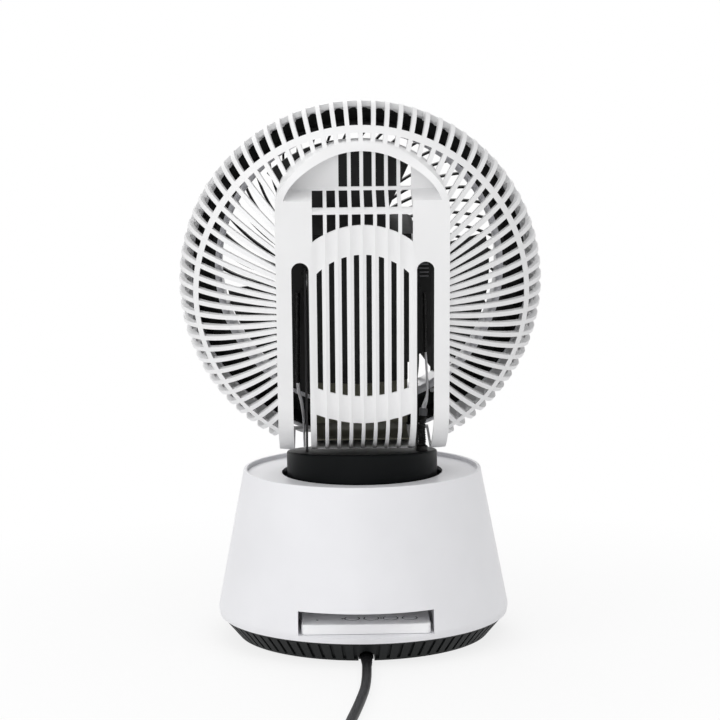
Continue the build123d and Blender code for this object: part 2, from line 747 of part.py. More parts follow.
# The recess: its floor slopes out further between the column's sides
with BuildPart() as recess:
    for half, floor_y in ((SPINE_HALF, POCKET_SIDE_Y), (COLUMN_HALF, POCKET_MID_Y)):
        with BuildSketch(HEAD_SIDE.offset(-half)):
            with BuildLine():
                Polyline(
                    (POCKET_TOP_Y, POCKET_Z),
                    (floor_y, SPINE_FACE_Z + 0.1),
                    (GUARD_R, SPINE_FACE_Z + 0.1),
                    (GUARD_R, POCKET_Z),
                    close=True,
                )
            make_face()
        extrude(amount=2 * half)
    with BuildSketch(HEAD):
        add(arch_face(POCKET_RIM))
    extrude(amount=GUARD_R, mode=Mode.INTERSECT)

# Flutes: straight down the face, then round the tilt axis to the foot
flute_r = ((BAR_PITCH / 2) ** 2 + FLUTE_DEEP**2) / (2 * FLUTE_DEEP)
flute_out = flute_r - FLUTE_DEEP
corner_y = -sqrt(SWEEP_R**2 - SPINE_FACE_Z**2)
corner_turn = atan2(SPINE_FACE_Z, corner_y)
foot_turn = atan2(sqrt(SWEEP_R**2 - LOW_FOOT_Y**2), LOW_FOOT_Y)
corner_plane = Plane(
    origin=HEAD.origin,
    x_dir=HEAD.x_dir,
    z_dir=HEAD.z_dir * cos(corner_turn) - HEAD.y_dir * sin(corner_turn),
)
with BuildPart() as flutes:
    with BuildSketch(HEAD_TURN.offset(-FLUTE_TOP_Y)):
        with Locations((0, SPINE_FACE_Z + flute_out)):
            with GridLocations(BAR_PITCH, 1, BAR_COUNT, 1):
                Circle(flute_r)
    extrude(amount=FLUTE_TOP_Y - corner_y)
    with BuildSketch(corner_plane):
        with Locations((0, SWEEP_R + flute_out)):
            with GridLocations(BAR_PITCH, 1, BAR_COUNT, 1):
                Circle(flute_r)
    revolve(axis=TILT_AXIS, revolution_arc=degrees(foot_turn - corner_turn))
    with BuildSketch(HEAD):
        with BuildLine():
            ThreePointArc((COLUMN_HALF, FLUTE_SIDE_Y), (0, FLUTE_TOP_Y), (-COLUMN_HALF, FLUTE_SIDE_Y))
            Polyline(
                (-COLUMN_HALF, FLUTE_SIDE_Y),
                (-COLUMN_HALF, -GUARD_R),
                (COLUMN_HALF, -GUARD_R),
                (COLUMN_HALF, FLUTE_SIDE_Y),
            )
        make_face()
    extrude(amount=GUARD_R, mode=Mode.INTERSECT)

# Spine cover
yoke_slot_half = (YOKE_SLOT_OUT - YOKE_SLOT_IN) / 2
yoke_slot_mid = (YOKE_SLOT_OUT + YOKE_SLOT_IN) / 2
row_one_foot = POCKET_TOP_Y + ROW_GAP
row_two_top = POCKET_TOP_Y - ROW_GAP / 2
row_two_foot = POCKET_MID_Y + ROW_GAP
row_three_top = row_two_foot - CROSS_BAR

# Windows: six tall ones in the recess, and two rows of eight below them
with BuildSketch() as window_rows:
    with BuildLine():
        ThreePointArc((COLUMN_HALF, FLUTE_SIDE_Y), (0, FLUTE_TOP_Y), (-COLUMN_HALF, FLUTE_SIDE_Y))
        Polyline(
            (-COLUMN_HALF, FLUTE_SIDE_Y),
            (-COLUMN_HALF, GUARD_R),
            (COLUMN_HALF, GUARD_R),
            (COLUMN_HALF, FLUTE_SIDE_Y),
        )
    make_face()
    add(arch_face(POCKET_RIM), mode=Mode.INTERSECT)
    # Bars between the windows, and the two that stay closed in the top row
    with GridLocations(BAR_PITCH, 1, BAR_COUNT - 1, 1):
        Rectangle(BAR_PITCH - WINDOW_W, 2 * GUARD_R, mode=Mode.SUBTRACT)
    with Locations((-COLUMN_HALF, row_two_top)):
        Rectangle(
            COLUMN_HALF - BAR_PITCH * (BAR_COUNT / 2 - CLOSED_WINDOWS),
            GUARD_R,
            align=(Align.MIN, Align.MIN),
            mode=Mode.SUBTRACT,
        )
    # Cross bars between the rows
    for foot, head in ((row_three_top, row_two_foot), (row_two_top, row_one_foot)):
        with Locations((0, (foot + head) / 2)):
            Rectangle(2 * COLUMN_HALF, head - foot, mode=Mode.SUBTRACT)

with BuildPart() as spine_cover:
    with BuildSketch(HEAD.offset(SPLIT_Z)):
        add(arch_face(0))
    extrude(amount=SPINE_FACE_Z - SPLIT_Z)
    with BuildSketch(HEAD_SIDE.offset(-SPINE_HALF)):
        add(side_face(0))
    extrude(amount=2 * SPINE_HALF, mode=Mode.INTERSECT)
    add(spine_core.part, mode=Mode.SUBTRACT)
    add(guard_room.part, mode=Mode.SUBTRACT)
    # Round rim at the foot
    with BuildSketch(HEAD.offset(SPLIT_Z)):
        Circle(GUARD_RIM_R)
    extrude(amount=GUARD_R, mode=Mode.INTERSECT)
    add(recess_block.part)
    add(recess.part, mode=Mode.SUBTRACT)
    # Rails on each side of the column, down to the motor's frame
    with BuildSketch(HEAD.offset(FRAME_BACK_Z)):
        with GridLocations(2 * YOKE_SLOT_IN - RAIL_T, 1, 2, 1):
            Rectangle(RAIL_T, FRAME_TOP_Y - FRAME_BOTTOM_Y)
    extrude(amount=SPINE_FACE_Z - SPINE_WALL / 2 - FRAME_BACK_Z)
    add(flutes.part, mode=Mode.SUBTRACT)
    # Slots of the column, with the windows of the recess above them
    with BuildSketch(HEAD.offset(SPLIT_Z + 2 * SPINE_WALL)):
        add(column_face(SLOT_W, SLOT_TOP_Y, SLOT_TOP_SIDE_Y, SLOT_FOOT_Y, SLOT_FOOT_SIDE_Y))
        add(column_face(LOW_SLOT_W, LOW_TOP_Y, LOW_TOP_SIDE_Y, LOW_FOOT_Y, LOW_FOOT_Y + 1))
    extrude(amount=GUARD_R, mode=Mode.SUBTRACT)
    with BuildSketch(HEAD.offset(POCKET_Z - 2 * POCKET_WALL)):
        add(window_rows.sketch)
    extrude(amount=GUARD_R, mode=Mode.SUBTRACT)
    # Side slots, rounded at the top and open at the foot
    with BuildSketch(HEAD.offset(YOKE_SLOT_FRONT_Z)):
        with GridLocations(2 * yoke_slot_mid, 1, 2, 1):
            with Locations((0, YOKE_SLOT_TOP_Y - yoke_slot_half)):
                Circle(yoke_slot_half)
                Rectangle(2 * yoke_slot_half, 2 * GUARD_R, align=(Align.CENTER, Align.MAX))
    extrude(amount=GUARD_R, mode=Mode.SUBTRACT)
finish(spine_cover, "spine_cover")

# Back guard: ribs that meet the spine, with a rim at their ends and a band halfway
rib_in_r = GUARD_R - RIB_DEEP
rib_in_depth = GUARD_DEPTH - RIB_DEEP
rib_start = degrees(acos(SPINE_HALF * 0.9 / rib_in_r))
band_z = dome_z(BAND_R + BAND_W / 2, GUARD_R, GUARD_DEPTH) - BAND_T / 2
# The spine's foot takes the place of the ribs at the bottom
rib_angles = [
    360 * i / RIB_COUNT + 90
    for i in range(RIB_COUNT)
    if abs(sin(2 * pi * i / RIB_COUNT)) * GUARD_R > SPINE_HALF or cos(2 * pi * i / RIB_COUNT) > 0
]
with BuildPart() as guard_rib:
    with BuildSketch(HEAD_TURN.offset(-RIB_T / 2)):
        with BuildLine():
            outer = EllipticalCenterArc((0, 0), GUARD_R, GUARD_DEPTH, 0, arc_size=rib_start)
            inner = EllipticalCenterArc((0, 0), rib_in_r, rib_in_depth, 0, arc_size=rib_start)
            Line(outer @ 1, inner @ 1)
            ThreePointArc((GUARD_R, 0), (GUARD_R - 1, RIB_END_Z * 0.55), (GUARD_RIM_R, RIB_END_Z))
            Polyline((GUARD_RIM_R, RIB_END_Z), (rib_in_r, RIB_END_Z), (rib_in_r, 0))
        make_face()
    extrude(amount=RIB_T)

with BuildPart() as rear_guard:
    with BuildSketch(HEAD_TURN):
        with Locations((GUARD_RIM_R - GUARD_RIM_W, SPLIT_Z)):
            Rectangle(
                GUARD_RIM_W,
                GUARD_RIM_BACK_Z - SPLIT_Z,
                align=(Align.MIN, Align.MIN),
            )
        with Locations((BAND_R, band_z)):
            Rectangle(BAND_W, BAND_T)
    revolve(axis=HEAD_AXIS)
    add([guard_rib.part.rotate(HEAD_AXIS, rib_angle) for rib_angle in rib_angles])
    with BuildSketch(HEAD.offset(SPLIT_Z)):
        add(arch_face(0))
    extrude(amount=GUARD_R, mode=Mode.SUBTRACT)
finish(rear_guard, "rear_guard")

# Bezel, the white ring round the front, with a shelf under the foot of the spine
bezel_in_r = BEZEL_R - BEZEL_WALL
side_in_r = BEZEL_SIDE_R - BEZEL_WALL
grille_r = BEZEL_FRONT_R - BEZEL_WALL
duct_out_r = DUCT_R + DUCT_WALL
duct_front_z = GRILLE_SEAT_Z + DUCT_WALL
foot_y = -sqrt(SWEEP_R**2 - SPINE_END_Z**2)
with BuildPart() as bezel_shelf:
    with BuildSketch(HEAD.offset(SPLIT_Z - BEZEL_WALL)):
        Circle(bezel_in_r)
        with Locations((0, foot_y + SPINE_WALL)):
            Rectangle(
                2 * SPINE_HALF,
                GUARD_R,
                align=(Align.CENTER, Align.MAX),
                mode=Mode.INTERSECT,
            )
    extrude(amount=BEZEL_WALL)

with BuildPart() as front_bezel:
    with BuildSketch(HEAD_TURN):
        with BuildLine():
            Polyline((bezel_in_r, SPLIT_Z), (BEZEL_R, SPLIT_Z), (BEZEL_R, BEZEL_STEP_Z))
            Line((BEZEL_R, BEZEL_STEP_Z), (BEZEL_SIDE_R, BEZEL_SIDE_Z))
            ThreePointArc(
                (BEZEL_SIDE_R, BEZEL_SIDE_Z),
                (BEZEL_SIDE_R - 3, (BEZEL_SIDE_Z + BEZEL_FRONT_Z) / 2 - 2),
                (BEZEL_FRONT_R, BEZEL_FRONT_Z),
            )
            Polyline(
                (BEZEL_FRONT_R, BEZEL_FRONT_Z),
                (grille_r, BEZEL_FRONT_Z),
                (grille_r, duct_front_z),
                (grille_r + 2 * BEZEL_WALL, duct_front_z),
                (side_in_r, BEZEL_SIDE_Z),
                (bezel_in_r, BEZEL_STEP_Z),
                (bezel_in_r, SPLIT_Z),
            )
        make_face()
    revolve(axis=HEAD_AXIS)
    add(bezel_shelf.part)
finish(front_bezel, "front_bezel")

# Duct round the blades, with a rolled lip behind and a flange behind the grille
with BuildPart() as duct_ring:
    with BuildSketch(HEAD_TURN):
        with BuildLine():
            Polyline(
                (duct_out_r, DUCT_BACK_Z - LIP_W),
                (duct_out_r, duct_front_z),
                (grille_r, duct_front_z),
                (grille_r, GRILLE_SEAT_Z),
                (DUCT_R, GRILLE_SEAT_Z),
                (DUCT_R, DUCT_BACK_Z - LIP_W),
            )
            ThreePointArc(
                (DUCT_R, DUCT_BACK_Z - LIP_W),
                (DUCT_R + LIP_W * 0.3, DUCT_BACK_Z - LIP_W * 0.3),
                (DUCT_R + LIP_W, DUCT_BACK_Z),
            )
            Polyline(
                (DUCT_R + LIP_W, DUCT_BACK_Z),
                (DUCT_R + LIP_W + DUCT_WALL, DUCT_BACK_Z),
                (duct_out_r, DUCT_BACK_Z - LIP_W),
            )
        make_face()
    revolve(axis=HEAD_AXIS)
finish(duct_ring, "duct_ring")

# Dark sheet between the duct and the bezel
with BuildPart() as duct_shroud:
    with BuildSketch(HEAD_TURN):
        with BuildLine():
            slope = (bezel_in_r - side_in_r) / (BEZEL_STEP_Z - BEZEL_SIDE_Z)
            Polyline(
                (duct_out_r, SHROUD_Z),
                (side_in_r + slope * (SHROUD_Z - BEZEL_SIDE_Z), SHROUD_Z),
                (side_in_r + slope * (SHROUD_Z + SHROUD_T - BEZEL_SIDE_Z), SHROUD_Z + SHROUD_T),
                (duct_out_r, SHROUD_Z + SHROUD_T),
                close=True,
            )
        make_face()
    revolve(axis=HEAD_AXIS)
finish(duct_shroud, "duct_shroud")

# Front grille: spiral ribs, crowned, between an outer rim and a ring for the cap
crown_r = (grille_r**2 + GRILLE_CROWN**2) / (2 * GRILLE_CROWN)
crown_z = BEZEL_FRONT_Z + crown_r - GRILLE_CROWN


def grille_z(r):
    # Front of the crowned grille at radius r
    return crown_z - sqrt(crown_r**2 - r**2)


with BuildPart() as grille_shell:
    with BuildSketch(HEAD_TURN):
        with BuildLine():
            mid_r = grille_r / 2
            ThreePointArc((0, grille_z(0)), (mid_r, grille_z(mid_r)), (grille_r, BEZEL_FRONT_Z))
            Line((grille_r, BEZEL_FRONT_Z), (grille_r, GRILLE_SEAT_Z))
            ThreePointArc(
                (grille_r, GRILLE_SEAT_Z),
                (mid_r, grille_z(mid_r) + SPIRAL_DEEP),
                (0, grille_z(0) + SPIRAL_DEEP),
            )
            Line((0, grille_z(0) + SPIRAL_DEEP), (0, grille_z(0)))
        make_face()
    revolve(axis=HEAD_AXIS)

spiral_start = CAP_R - CAP_RIM_W / 2
spiral_end = grille_r - GRILLE_RIM_W / 2
spiral_mid = (spiral_start + spiral_end) / 2
turn_mid = radians(SPIRAL_TURN * 0.62)
turn_end = radians(SPIRAL_TURN)
with BuildLine() as spiral:
    ThreePointArc(
        (spiral_start, 0),
        (spiral_mid * cos(turn_mid), -spiral_mid * sin(turn_mid)),
        (spiral_end * cos(turn_end), -spiral_end * sin(turn_end)),
    )
with BuildSketch() as spiral_strip:
    trace(spiral.line, SPIRAL_T)
with BuildSketch() as grille_plan:
    Circle(grille_r)
    Circle(grille_r - GRILLE_RIM_W, mode=Mode.SUBTRACT)
    Circle(CAP_R)
    Circle(CAP_R - CAP_RIM_W, mode=Mode.SUBTRACT)
    with PolarLocations(0, SPIRAL_COUNT):
        add(spiral_strip.sketch)

with BuildPart() as front_grille:
    with BuildSketch(HEAD.offset(grille_z(0) - 1)):
        add(grille_plan.sketch)
    extrude(amount=GUARD_R)
    add(grille_shell.part, mode=Mode.INTERSECT)
finish(front_grille, "front_grille")

# Cap in the middle of the grille
cap_seat_r = CAP_R - CAP_RIM_W
with BuildPart() as grille_cap:
    with BuildSketch(HEAD_TURN):
        with BuildLine():
            Polyline(
                (0, grille_z(0) - CAP_PROUD),
                (0, grille_z(0) + SPIRAL_DEEP),
                (cap_seat_r, grille_z(0) + SPIRAL_DEEP),
                (cap_seat_r, grille_z(cap_seat_r) - CAP_PROUD),
            )
            ThreePointArc(
                (cap_seat_r, grille_z(cap_seat_r) - CAP_PROUD),
                (cap_seat_r / 2, grille_z(cap_seat_r / 2) - CAP_PROUD),
                (0, grille_z(0) - CAP_PROUD),
            )
        make_face()
    revolve(axis=HEAD_AXIS)
finish(grille_cap, "grille_cap")

# Light baffle low down behind the duct, on two webs that reach the duct's lip
with BuildPart() as lower_baffle:
    with BuildSketch(HEAD.offset(BAFFLE_Z - BAFFLE_T)):
        with Locations((0, (BAFFLE_TOP_Y + BAFFLE_FOOT_Y) / 2)):
            Rectangle(2 * BAFFLE_HALF, BAFFLE_TOP_Y - BAFFLE_FOOT_Y)
    extrude(amount=BAFFLE_T)
    with BuildSketch(HEAD.offset(DUCT_BACK_Z)):
        with Locations((0, BAFFLE_FOOT_Y)):
            with GridLocations(2 * BAFFLE_HALF - BAFFLE_T, 1, 2, 1):
                Rectangle(BAFFLE_T, BAFFLE_WEB, align=(Align.CENTER, Align.MIN))
    extrude(amount=BAFFLE_Z - DUCT_BACK_Z)
finish(lower_baffle, "lower_baffle")

# Frame of the motor, a box open to the front, between the rails and the yoke
frame_in = FRAME_HALF - FRAME_WALL
frame_mid_y = (FRAME_TOP_Y + FRAME_BOTTOM_Y) / 2
frame_h = FRAME_TOP_Y - FRAME_BOTTOM_Y
with BuildPart() as motor_frame:
    with BuildSketch(HEAD.offset(FRAME_FRONT_Z)):
        with Locations((0, frame_mid_y)):
            RectangleRounded(2 * FRAME_HALF, frame_h, FRAME_CORNER_R)
    extrude(amount=FRAME_BACK_Z - FRAME_FRONT_Z)
    with BuildSketch(HEAD.offset(FRAME_FRONT_Z)):
        with Locations((0, frame_mid_y)):
            RectangleRounded(2 * frame_in, frame_h - 2 * FRAME_WALL, FRAME_CORNER_R - FRAME_WALL)
    extrude(amount=FRAME_BACK_Z - FRAME_FRONT_Z - FRAME_WALL, mode=Mode.SUBTRACT)
    with BuildSketch(HEAD_SIDE.offset(-FRAME_HALF)):
        Circle(PIN_R)
    extrude(amount=2 * FRAME_HALF, mode=Mode.SUBTRACT)
finish(motor_frame, "motor_frame")

# Motor on the plate that closes the frame, with a bush for its shaft
with BuildPart() as motor_body:
    with BuildSketch(HEAD.offset(FRAME_FRONT_Z)):
        with Locations((0, frame_mid_y)):
            RectangleRounded(2 * frame_in, frame_h - 2 * FRAME_WALL, FRAME_CORNER_R - FRAME_WALL)
    extrude(amount=FRAME_WALL)
    with BuildSketch(HEAD.offset(FRAME_FRONT_Z)):
        Circle(MOTOR_R)
    extrude(amount=MOTOR_L)
    with BuildSketch(HEAD.offset(FRAME_FRONT_Z)):
        Circle(BUSH_R)
    extrude(amount=-BUSH_L)
    with BuildSketch(HEAD.offset(FRAME_FRONT_Z - BUSH_L)):
        Circle(MOTOR_SHAFT_R + SHAFT_FIT)
    extrude(amount=BUSH_L + MOTOR_L - FRAME_WALL, mode=Mode.SUBTRACT)
finish(motor_body, "motor_body")

# Pins that the head tilts on, with washers between the frame and the arms
WASHER_T = ARM_IN - FRAME_HALF - SIDE_PLAY
with BuildPart() as tilt_pins:
    for side in (-1, 1):
        with BuildSketch(HEAD_SIDE.offset(side * frame_in)):
            Circle(PIN_R)
        extrude(amount=side * (ARM_IN + ARM_T + SIDE_PLAY - frame_in))
        with BuildSketch(HEAD_SIDE.offset(side * (ARM_IN + ARM_T + SIDE_PLAY))):
            Circle(PIN_HEAD_R)
        extrude(amount=side * PIN_HEAD_T)
finish(tilt_pins, "tilt_pins")

with BuildPart() as tilt_washers:
    for side in (-1, 1):
        with BuildSketch(HEAD_SIDE.offset(side * FRAME_HALF)):
            Circle(PIN_HEAD_R)
            Circle(PIN_R, mode=Mode.SUBTRACT)
        extrude(amount=side * WASHER_T)
finish(tilt_washers, "tilt_washers")

# Fan: three wide blades on a cup-shaped hub, pushed on the motor's shaft
shaft_end_z = HUB_FRONT_Z - NUT_H - 1
with BuildPart() as motor_shaft:
    with BuildSketch(HEAD.offset(shaft_end_z)):
        Circle(MOTOR_SHAFT_R)
    extrude(amount=FRAME_FRONT_Z + MOTOR_L - 2 * FRAME_WALL - shaft_end_z)
finish(motor_shaft, "motor_shaft")


def blade_face(distance):
    # Section of a blade on a plane at the given distance from the fan's axis
    half = distance * tan(radians(BLADE_HALF_ANGLE))
    rise = BLADE_RISE * (0.75 + 0.25 * distance / BLADE_TIP_R)
    camber = BLADE_CAMBER * distance / BLADE_TIP_R
    mid_z = (HUB_BACK_Z + HUB_FRONT_Z) / 2
    with BuildSketch(mode=Mode.PRIVATE) as section:
        with BuildLine():
            ThreePointArc(
                (-half, mid_z - rise),
                (0, mid_z - camber - BLADE_T / 2),
                (half, mid_z + rise),
            )
            Line((half, mid_z + rise), (half, mid_z + rise + BLADE_T * 0.6))
            ThreePointArc(
                (half, mid_z + rise + BLADE_T * 0.6),
                (0, mid_z - camber + BLADE_T / 2),
                (-half, mid_z - rise + BLADE_T * 0.6),
            )
            Line((-half, mid_z - rise + BLADE_T * 0.6), (-half, mid_z - rise))
        make_face()
    return section.sketch


with BuildPart() as blade:
    for distance in (HUB_R * 0.7, BLADE_TIP_R * 0.6, BLADE_TIP_R * 1.05):
        with BuildSketch(HEAD_TURN.offset(-distance)):
            add(blade_face(distance))
    loft()
    with BuildSketch(HEAD.offset(BEZEL_FRONT_Z)):
        Circle(BLADE_TIP_R)
        Circle(HUB_R - HUB_WALL / 2, mode=Mode.SUBTRACT)
    extrude(amount=GUARD_R, mode=Mode.INTERSECT)

with BuildPart() as fan_blades:
    with BuildSketch(HEAD.offset(HUB_FRONT_Z)):
        Circle(HUB_R)
    extrude(amount=HUB_BACK_Z - HUB_FRONT_Z)
    fillet(fan_blades.edges().sort_by(HEAD_AXIS)[0], HUB_WALL)
    with BuildSketch(HEAD.offset(HUB_FRONT_Z + HUB_WALL)):
        Circle(HUB_R - HUB_WALL)
        Circle(BUSH_R, mode=Mode.SUBTRACT)
    extrude(amount=HUB_BACK_Z - HUB_FRONT_Z, mode=Mode.SUBTRACT)
    with BuildSketch(HEAD.offset(HUB_FRONT_Z)):
        Circle(MOTOR_SHAFT_R)
    extrude(amount=HUB_BACK_Z - HUB_FRONT_Z, mode=Mode.SUBTRACT)
    for i in range(BLADE_COUNT):
        add(blade.part.rotate(HEAD_AXIS, BLADE_START - 90 + 360 * i / BLADE_COUNT))
finish(fan_blades, "fan_blades")

with BuildPart() as blade_nut:
    with BuildSketch(HEAD.offset(HUB_FRONT_Z)):
        Circle(NUT_R)
        Circle(MOTOR_SHAFT_R, mode=Mode.SUBTRACT)
    extrude(amount=-NUT_H)
    fillet(blade_nut.edges().sort_by(HEAD_AXIS)[0], NUT_H / 5)
finish(blade_nut, "blade_nut")

# Gland at the inner end of the notch
with BuildPart() as cord_gland:
    with BuildSketch(Plane.XZ.offset(-NOTCH_IN_Y)):
        with Locations((0, NOTCH_H)):
            Rectangle(
                NOTCH_W - 2 * SEAT_GAP,
                NOTCH_H - SEAT_GAP,
                align=(Align.CENTER, Align.MAX),
            )
    extrude(amount=-GLAND_T)
finish(cord_gland, "cord_gland")

# Cord along the floor: straight out of the gland, then an easy bend to the coil
gland_y = NOTCH_IN_Y + GLAND_T
route = [(0, gland_y), (0, 140), (7, 196), (16, 250), (16, COIL_Y - 2 * CORD_R)]
runs = [hypot(b[0] - a[0], b[1] - a[1]) for a, b in zip(route, route[1:])]
headings = [atan2(b[0] - a[0], b[1] - a[1]) for a, b in zip(route, route[1:])]
bend_radii = [
    CORD_BEND * min(runs[i], runs[i + 1]) / tan(abs(headings[i + 1] - headings[i]) / 2)
    for i in range(len(runs) - 1)
]
with BuildPart() as cord:
    with BuildLine() as cord_path:
        FilletPolyline(*[(x, y, CORD_Z) for x, y in route], radius=bend_radii)
    with BuildSketch(Plane.XZ.offset(-gland_y)):
        with Locations((0, CORD_Z)):
            Circle(CORD_R)
    sweep(path=cord_path.line)
finish(cord, "cord")
cord_wire = cord_path.wire()
print("cord radii", [round(r, 1) for r in bend_radii])
print("cord volume over section times length", cord.part.volume / (pi * CORD_R**2 * cord_wire.length))

# Coil: half turns that spiral in, climb one layer at the inside and spiral out
loop_step = 2 * CORD_R + LOOP_GAP
coil_x = route[-1][0]
half_radii = [COIL_IN_R + loop_step / 2 * i for i in range(COIL_ROUNDS)]
climb_r = COIL_IN_R - loop_step / 2
with BuildPart() as cord_coil:
    with BuildLine() as coil_path:
        Line((coil_x, route[-1][1], CORD_Z), (coil_x, COIL_Y, CORD_Z))
        heading = 1
        here = coil_x
        for r in reversed(half_radii):
            there = here - heading * 2 * r
            ThreePointArc(
                (here, COIL_Y, CORD_Z),
                ((here + there) / 2, COIL_Y + heading * r, CORD_Z),
                (there, COIL_Y, CORD_Z),
            )
            here = there
            heading = -heading
        # Two arcs that climb to the second layer in the innermost half turn
        there = here - heading * 2 * climb_r
        top_y = COIL_Y + heading * sqrt(climb_r**2 + loop_step**2 / 4)
        climb_in = TangentArc(
            (here, COIL_Y, CORD_Z),
            ((here + there) / 2, top_y, CORD_Z + loop_step / 2),
            tangent=(0, heading, 0),
        )
        TangentArc(climb_in @ 1, (there, COIL_Y, CORD_Z + loop_step), tangent=climb_in % 1)
        here = there
        heading = -heading
        for r in half_radii + [COIL_IN_R + loop_step / 2 * COIL_ROUNDS]:
            there = here - heading * 2 * r
            ThreePointArc(
                (here, COIL_Y, CORD_Z + loop_step),
                ((here + there) / 2, COIL_Y + heading * r, CORD_Z + loop_step),
                (there, COIL_Y, CORD_Z + loop_step),
            )
            here = there
            heading = -heading
        Line((here, COIL_Y, CORD_Z + loop_step), (here, COIL_Y + COIL_TAIL, CORD_Z + loop_step))
    with BuildSketch(Plane.XZ.offset(-route[-1][1])):
        with Locations((coil_x, CORD_Z)):
            Circle(CORD_R)
    sweep(path=coil_path.line)
finish(cord_coil, "cord_coil")
coil_wire = coil_path.wire()

# Least gap between turns, on points that lie more than a quarter turn apart
steps = int(coil_wire.length / 2)
points = [coil_wire @ (i / steps) for i in range(steps + 1)]
quarter = int(climb_r * pi / 4)
gaps = [
    (points[i] - points[j]).length - 2 * CORD_R
    for i in range(len(points))
    for j in range(i + quarter, len(points))
]
print("least gap of the coil to itself", round(min(gaps), 2))
print("cord length in all", round(cord_wire.length + coil_wire.length))
print("coil volume over section times length", cord_coil.part.volume / (pi * CORD_R**2 * coil_wire.length))

# Plug with two flat pins, flat on the floor behind the coil
plug_y = COIL_Y + COIL_TAIL
plug_x = here
plug_z = CORD_Z + loop_step
with BuildPart() as plug:
    with BuildSketch(Plane.XZ.offset(-plug_y)):
        with Locations((plug_x, plug_z)):
            Circle(CORD_R + RELIEF_WALL)
    extrude(amount=-RELIEF_L, taper=-4)
    with BuildSketch(Plane.XZ.offset(-(plug_y + RELIEF_L))):
        with Locations((plug_x, plug_z)):
            RectangleRounded(PLUG_W, 2 * plug_z, PLUG_W / 6)
    extrude(amount=-PLUG_L)
    fillet(plug.faces().sort_by(Axis.Y)[-1].edges(), 1.5)
finish(plug, "plug")

with BuildPart() as plug_pins:
    with BuildSketch(Plane.XZ.offset(-(plug_y + RELIEF_L + PLUG_L))):
        with Locations((plug_x, plug_z)):
            with GridLocations(PIN_PITCH, 1, 2, 1):
                Rectangle(PIN_T, PIN_W)
    extrude(amount=-PIN_L)
finish(plug_pins, "plug_pins")
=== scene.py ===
import json
from math import atan2, cos, hypot, pi, radians, sin, sqrt

import bmesh
import bpy
from mathutils import Matrix, Vector


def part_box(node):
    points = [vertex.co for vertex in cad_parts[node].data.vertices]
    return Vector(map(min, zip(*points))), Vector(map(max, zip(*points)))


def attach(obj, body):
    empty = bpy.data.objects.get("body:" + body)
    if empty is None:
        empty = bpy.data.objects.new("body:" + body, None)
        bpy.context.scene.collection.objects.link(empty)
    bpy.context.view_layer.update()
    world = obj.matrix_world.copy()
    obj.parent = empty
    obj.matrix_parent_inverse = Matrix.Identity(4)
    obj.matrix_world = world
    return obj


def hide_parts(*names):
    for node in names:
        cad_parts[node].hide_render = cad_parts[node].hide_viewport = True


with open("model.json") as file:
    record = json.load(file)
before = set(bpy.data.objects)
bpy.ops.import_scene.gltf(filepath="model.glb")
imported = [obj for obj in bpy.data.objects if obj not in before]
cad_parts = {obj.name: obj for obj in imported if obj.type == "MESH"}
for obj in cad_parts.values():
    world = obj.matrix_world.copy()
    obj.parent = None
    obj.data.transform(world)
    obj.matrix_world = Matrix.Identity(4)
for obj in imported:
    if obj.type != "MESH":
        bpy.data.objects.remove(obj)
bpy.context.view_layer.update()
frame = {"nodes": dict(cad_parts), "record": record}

# Sizes that the dressing shares with the solids, in metres
CORD_R = 0.0032
CORD_Z = 0.0032
LOOP_STEP = 0.0073
COIL_IN_R = 0.028
COIL_ROUNDS = 5
COIL_Y = 0.316
COIL_TAIL = 0.020
GLAND_Y = 0.079

# Camera of the photograph: its place, pitch, roll and lens
CAMERA_FAR = 1.450
CAMERA_HIGH = 0.3726
CAMERA_TURN = 1.1
CAMERA_PITCH = 7.09
CAMERA_ROLL = -0.56
CAMERA_LENS = 105.0
CAMERA_SHIFT = -1.03 / 720
CAMERA_SENSOR = 36
CAMERA_CLIP = 0.05


# Materials
def new_material(name):
    material = bpy.data.materials.new(name)
    material.use_nodes = True
    nodes = material.node_tree.nodes
    nodes.clear()
    output = nodes.new("ShaderNodeOutputMaterial")
    shader = nodes.new("ShaderNodeBsdfPrincipled")
    material.node_tree.links.new(shader.outputs["BSDF"], output.inputs["Surface"])
    return material, shader


def add_noise(tree, scale, detail=3.0, rough=0.5):
    place = tree.nodes.new("ShaderNodeTexCoord")
    noise = tree.nodes.new("ShaderNodeTexNoise")
    noise.inputs["Scale"].default_value = scale
    noise.inputs["Detail"].default_value = detail
    noise.inputs["Roughness"].default_value = rough
    tree.links.new(place.outputs["Object"], noise.inputs["Vector"])
    return noise.outputs["Fac"]


def ramp(tree, factor, low, high, start=0.3, end=0.7):
    node = tree.nodes.new("ShaderNodeValToRGB")
    node.color_ramp.elements[0].position = start
    node.color_ramp.elements[1].position = end
    node.color_ramp.elements[0].color = (*low, 1)
    node.color_ramp.elements[1].color = (*high, 1)
    tree.links.new(factor, node.inputs["Fac"])
    return node.outputs["Color"]


def spread(tree, factor, low, high):
    node = tree.nodes.new("ShaderNodeMapRange")
    node.inputs["To Min"].default_value = low
    node.inputs["To Max"].default_value = high
    tree.links.new(factor, node.inputs["Value"])
    return node.outputs["Result"]


def add_bump(tree, shader, factor, strength, distance):
    bump = tree.nodes.new("ShaderNodeBump")
    bump.inputs["Strength"].default_value = strength
    bump.inputs["Distance"].default_value = distance
    tree.links.new(factor, bump.inputs["Height"])
    tree.links.new(bump.outputs["Normal"], shader.inputs["Normal"])


CLOUD_SCALE = 14.0
SMEAR_SCALE = 60.0
SMEAR_DETAIL = 5.0
SMEAR_ROUGHNESS = 0.65
GRAIN_SCALE = 900.0
GRAIN_DETAIL = 2.0
GRAIN_STRENGTH = 0.35
GLOSS_SPREAD = (0.85, 1.18)
COAT_ROUGHNESS = 0.2


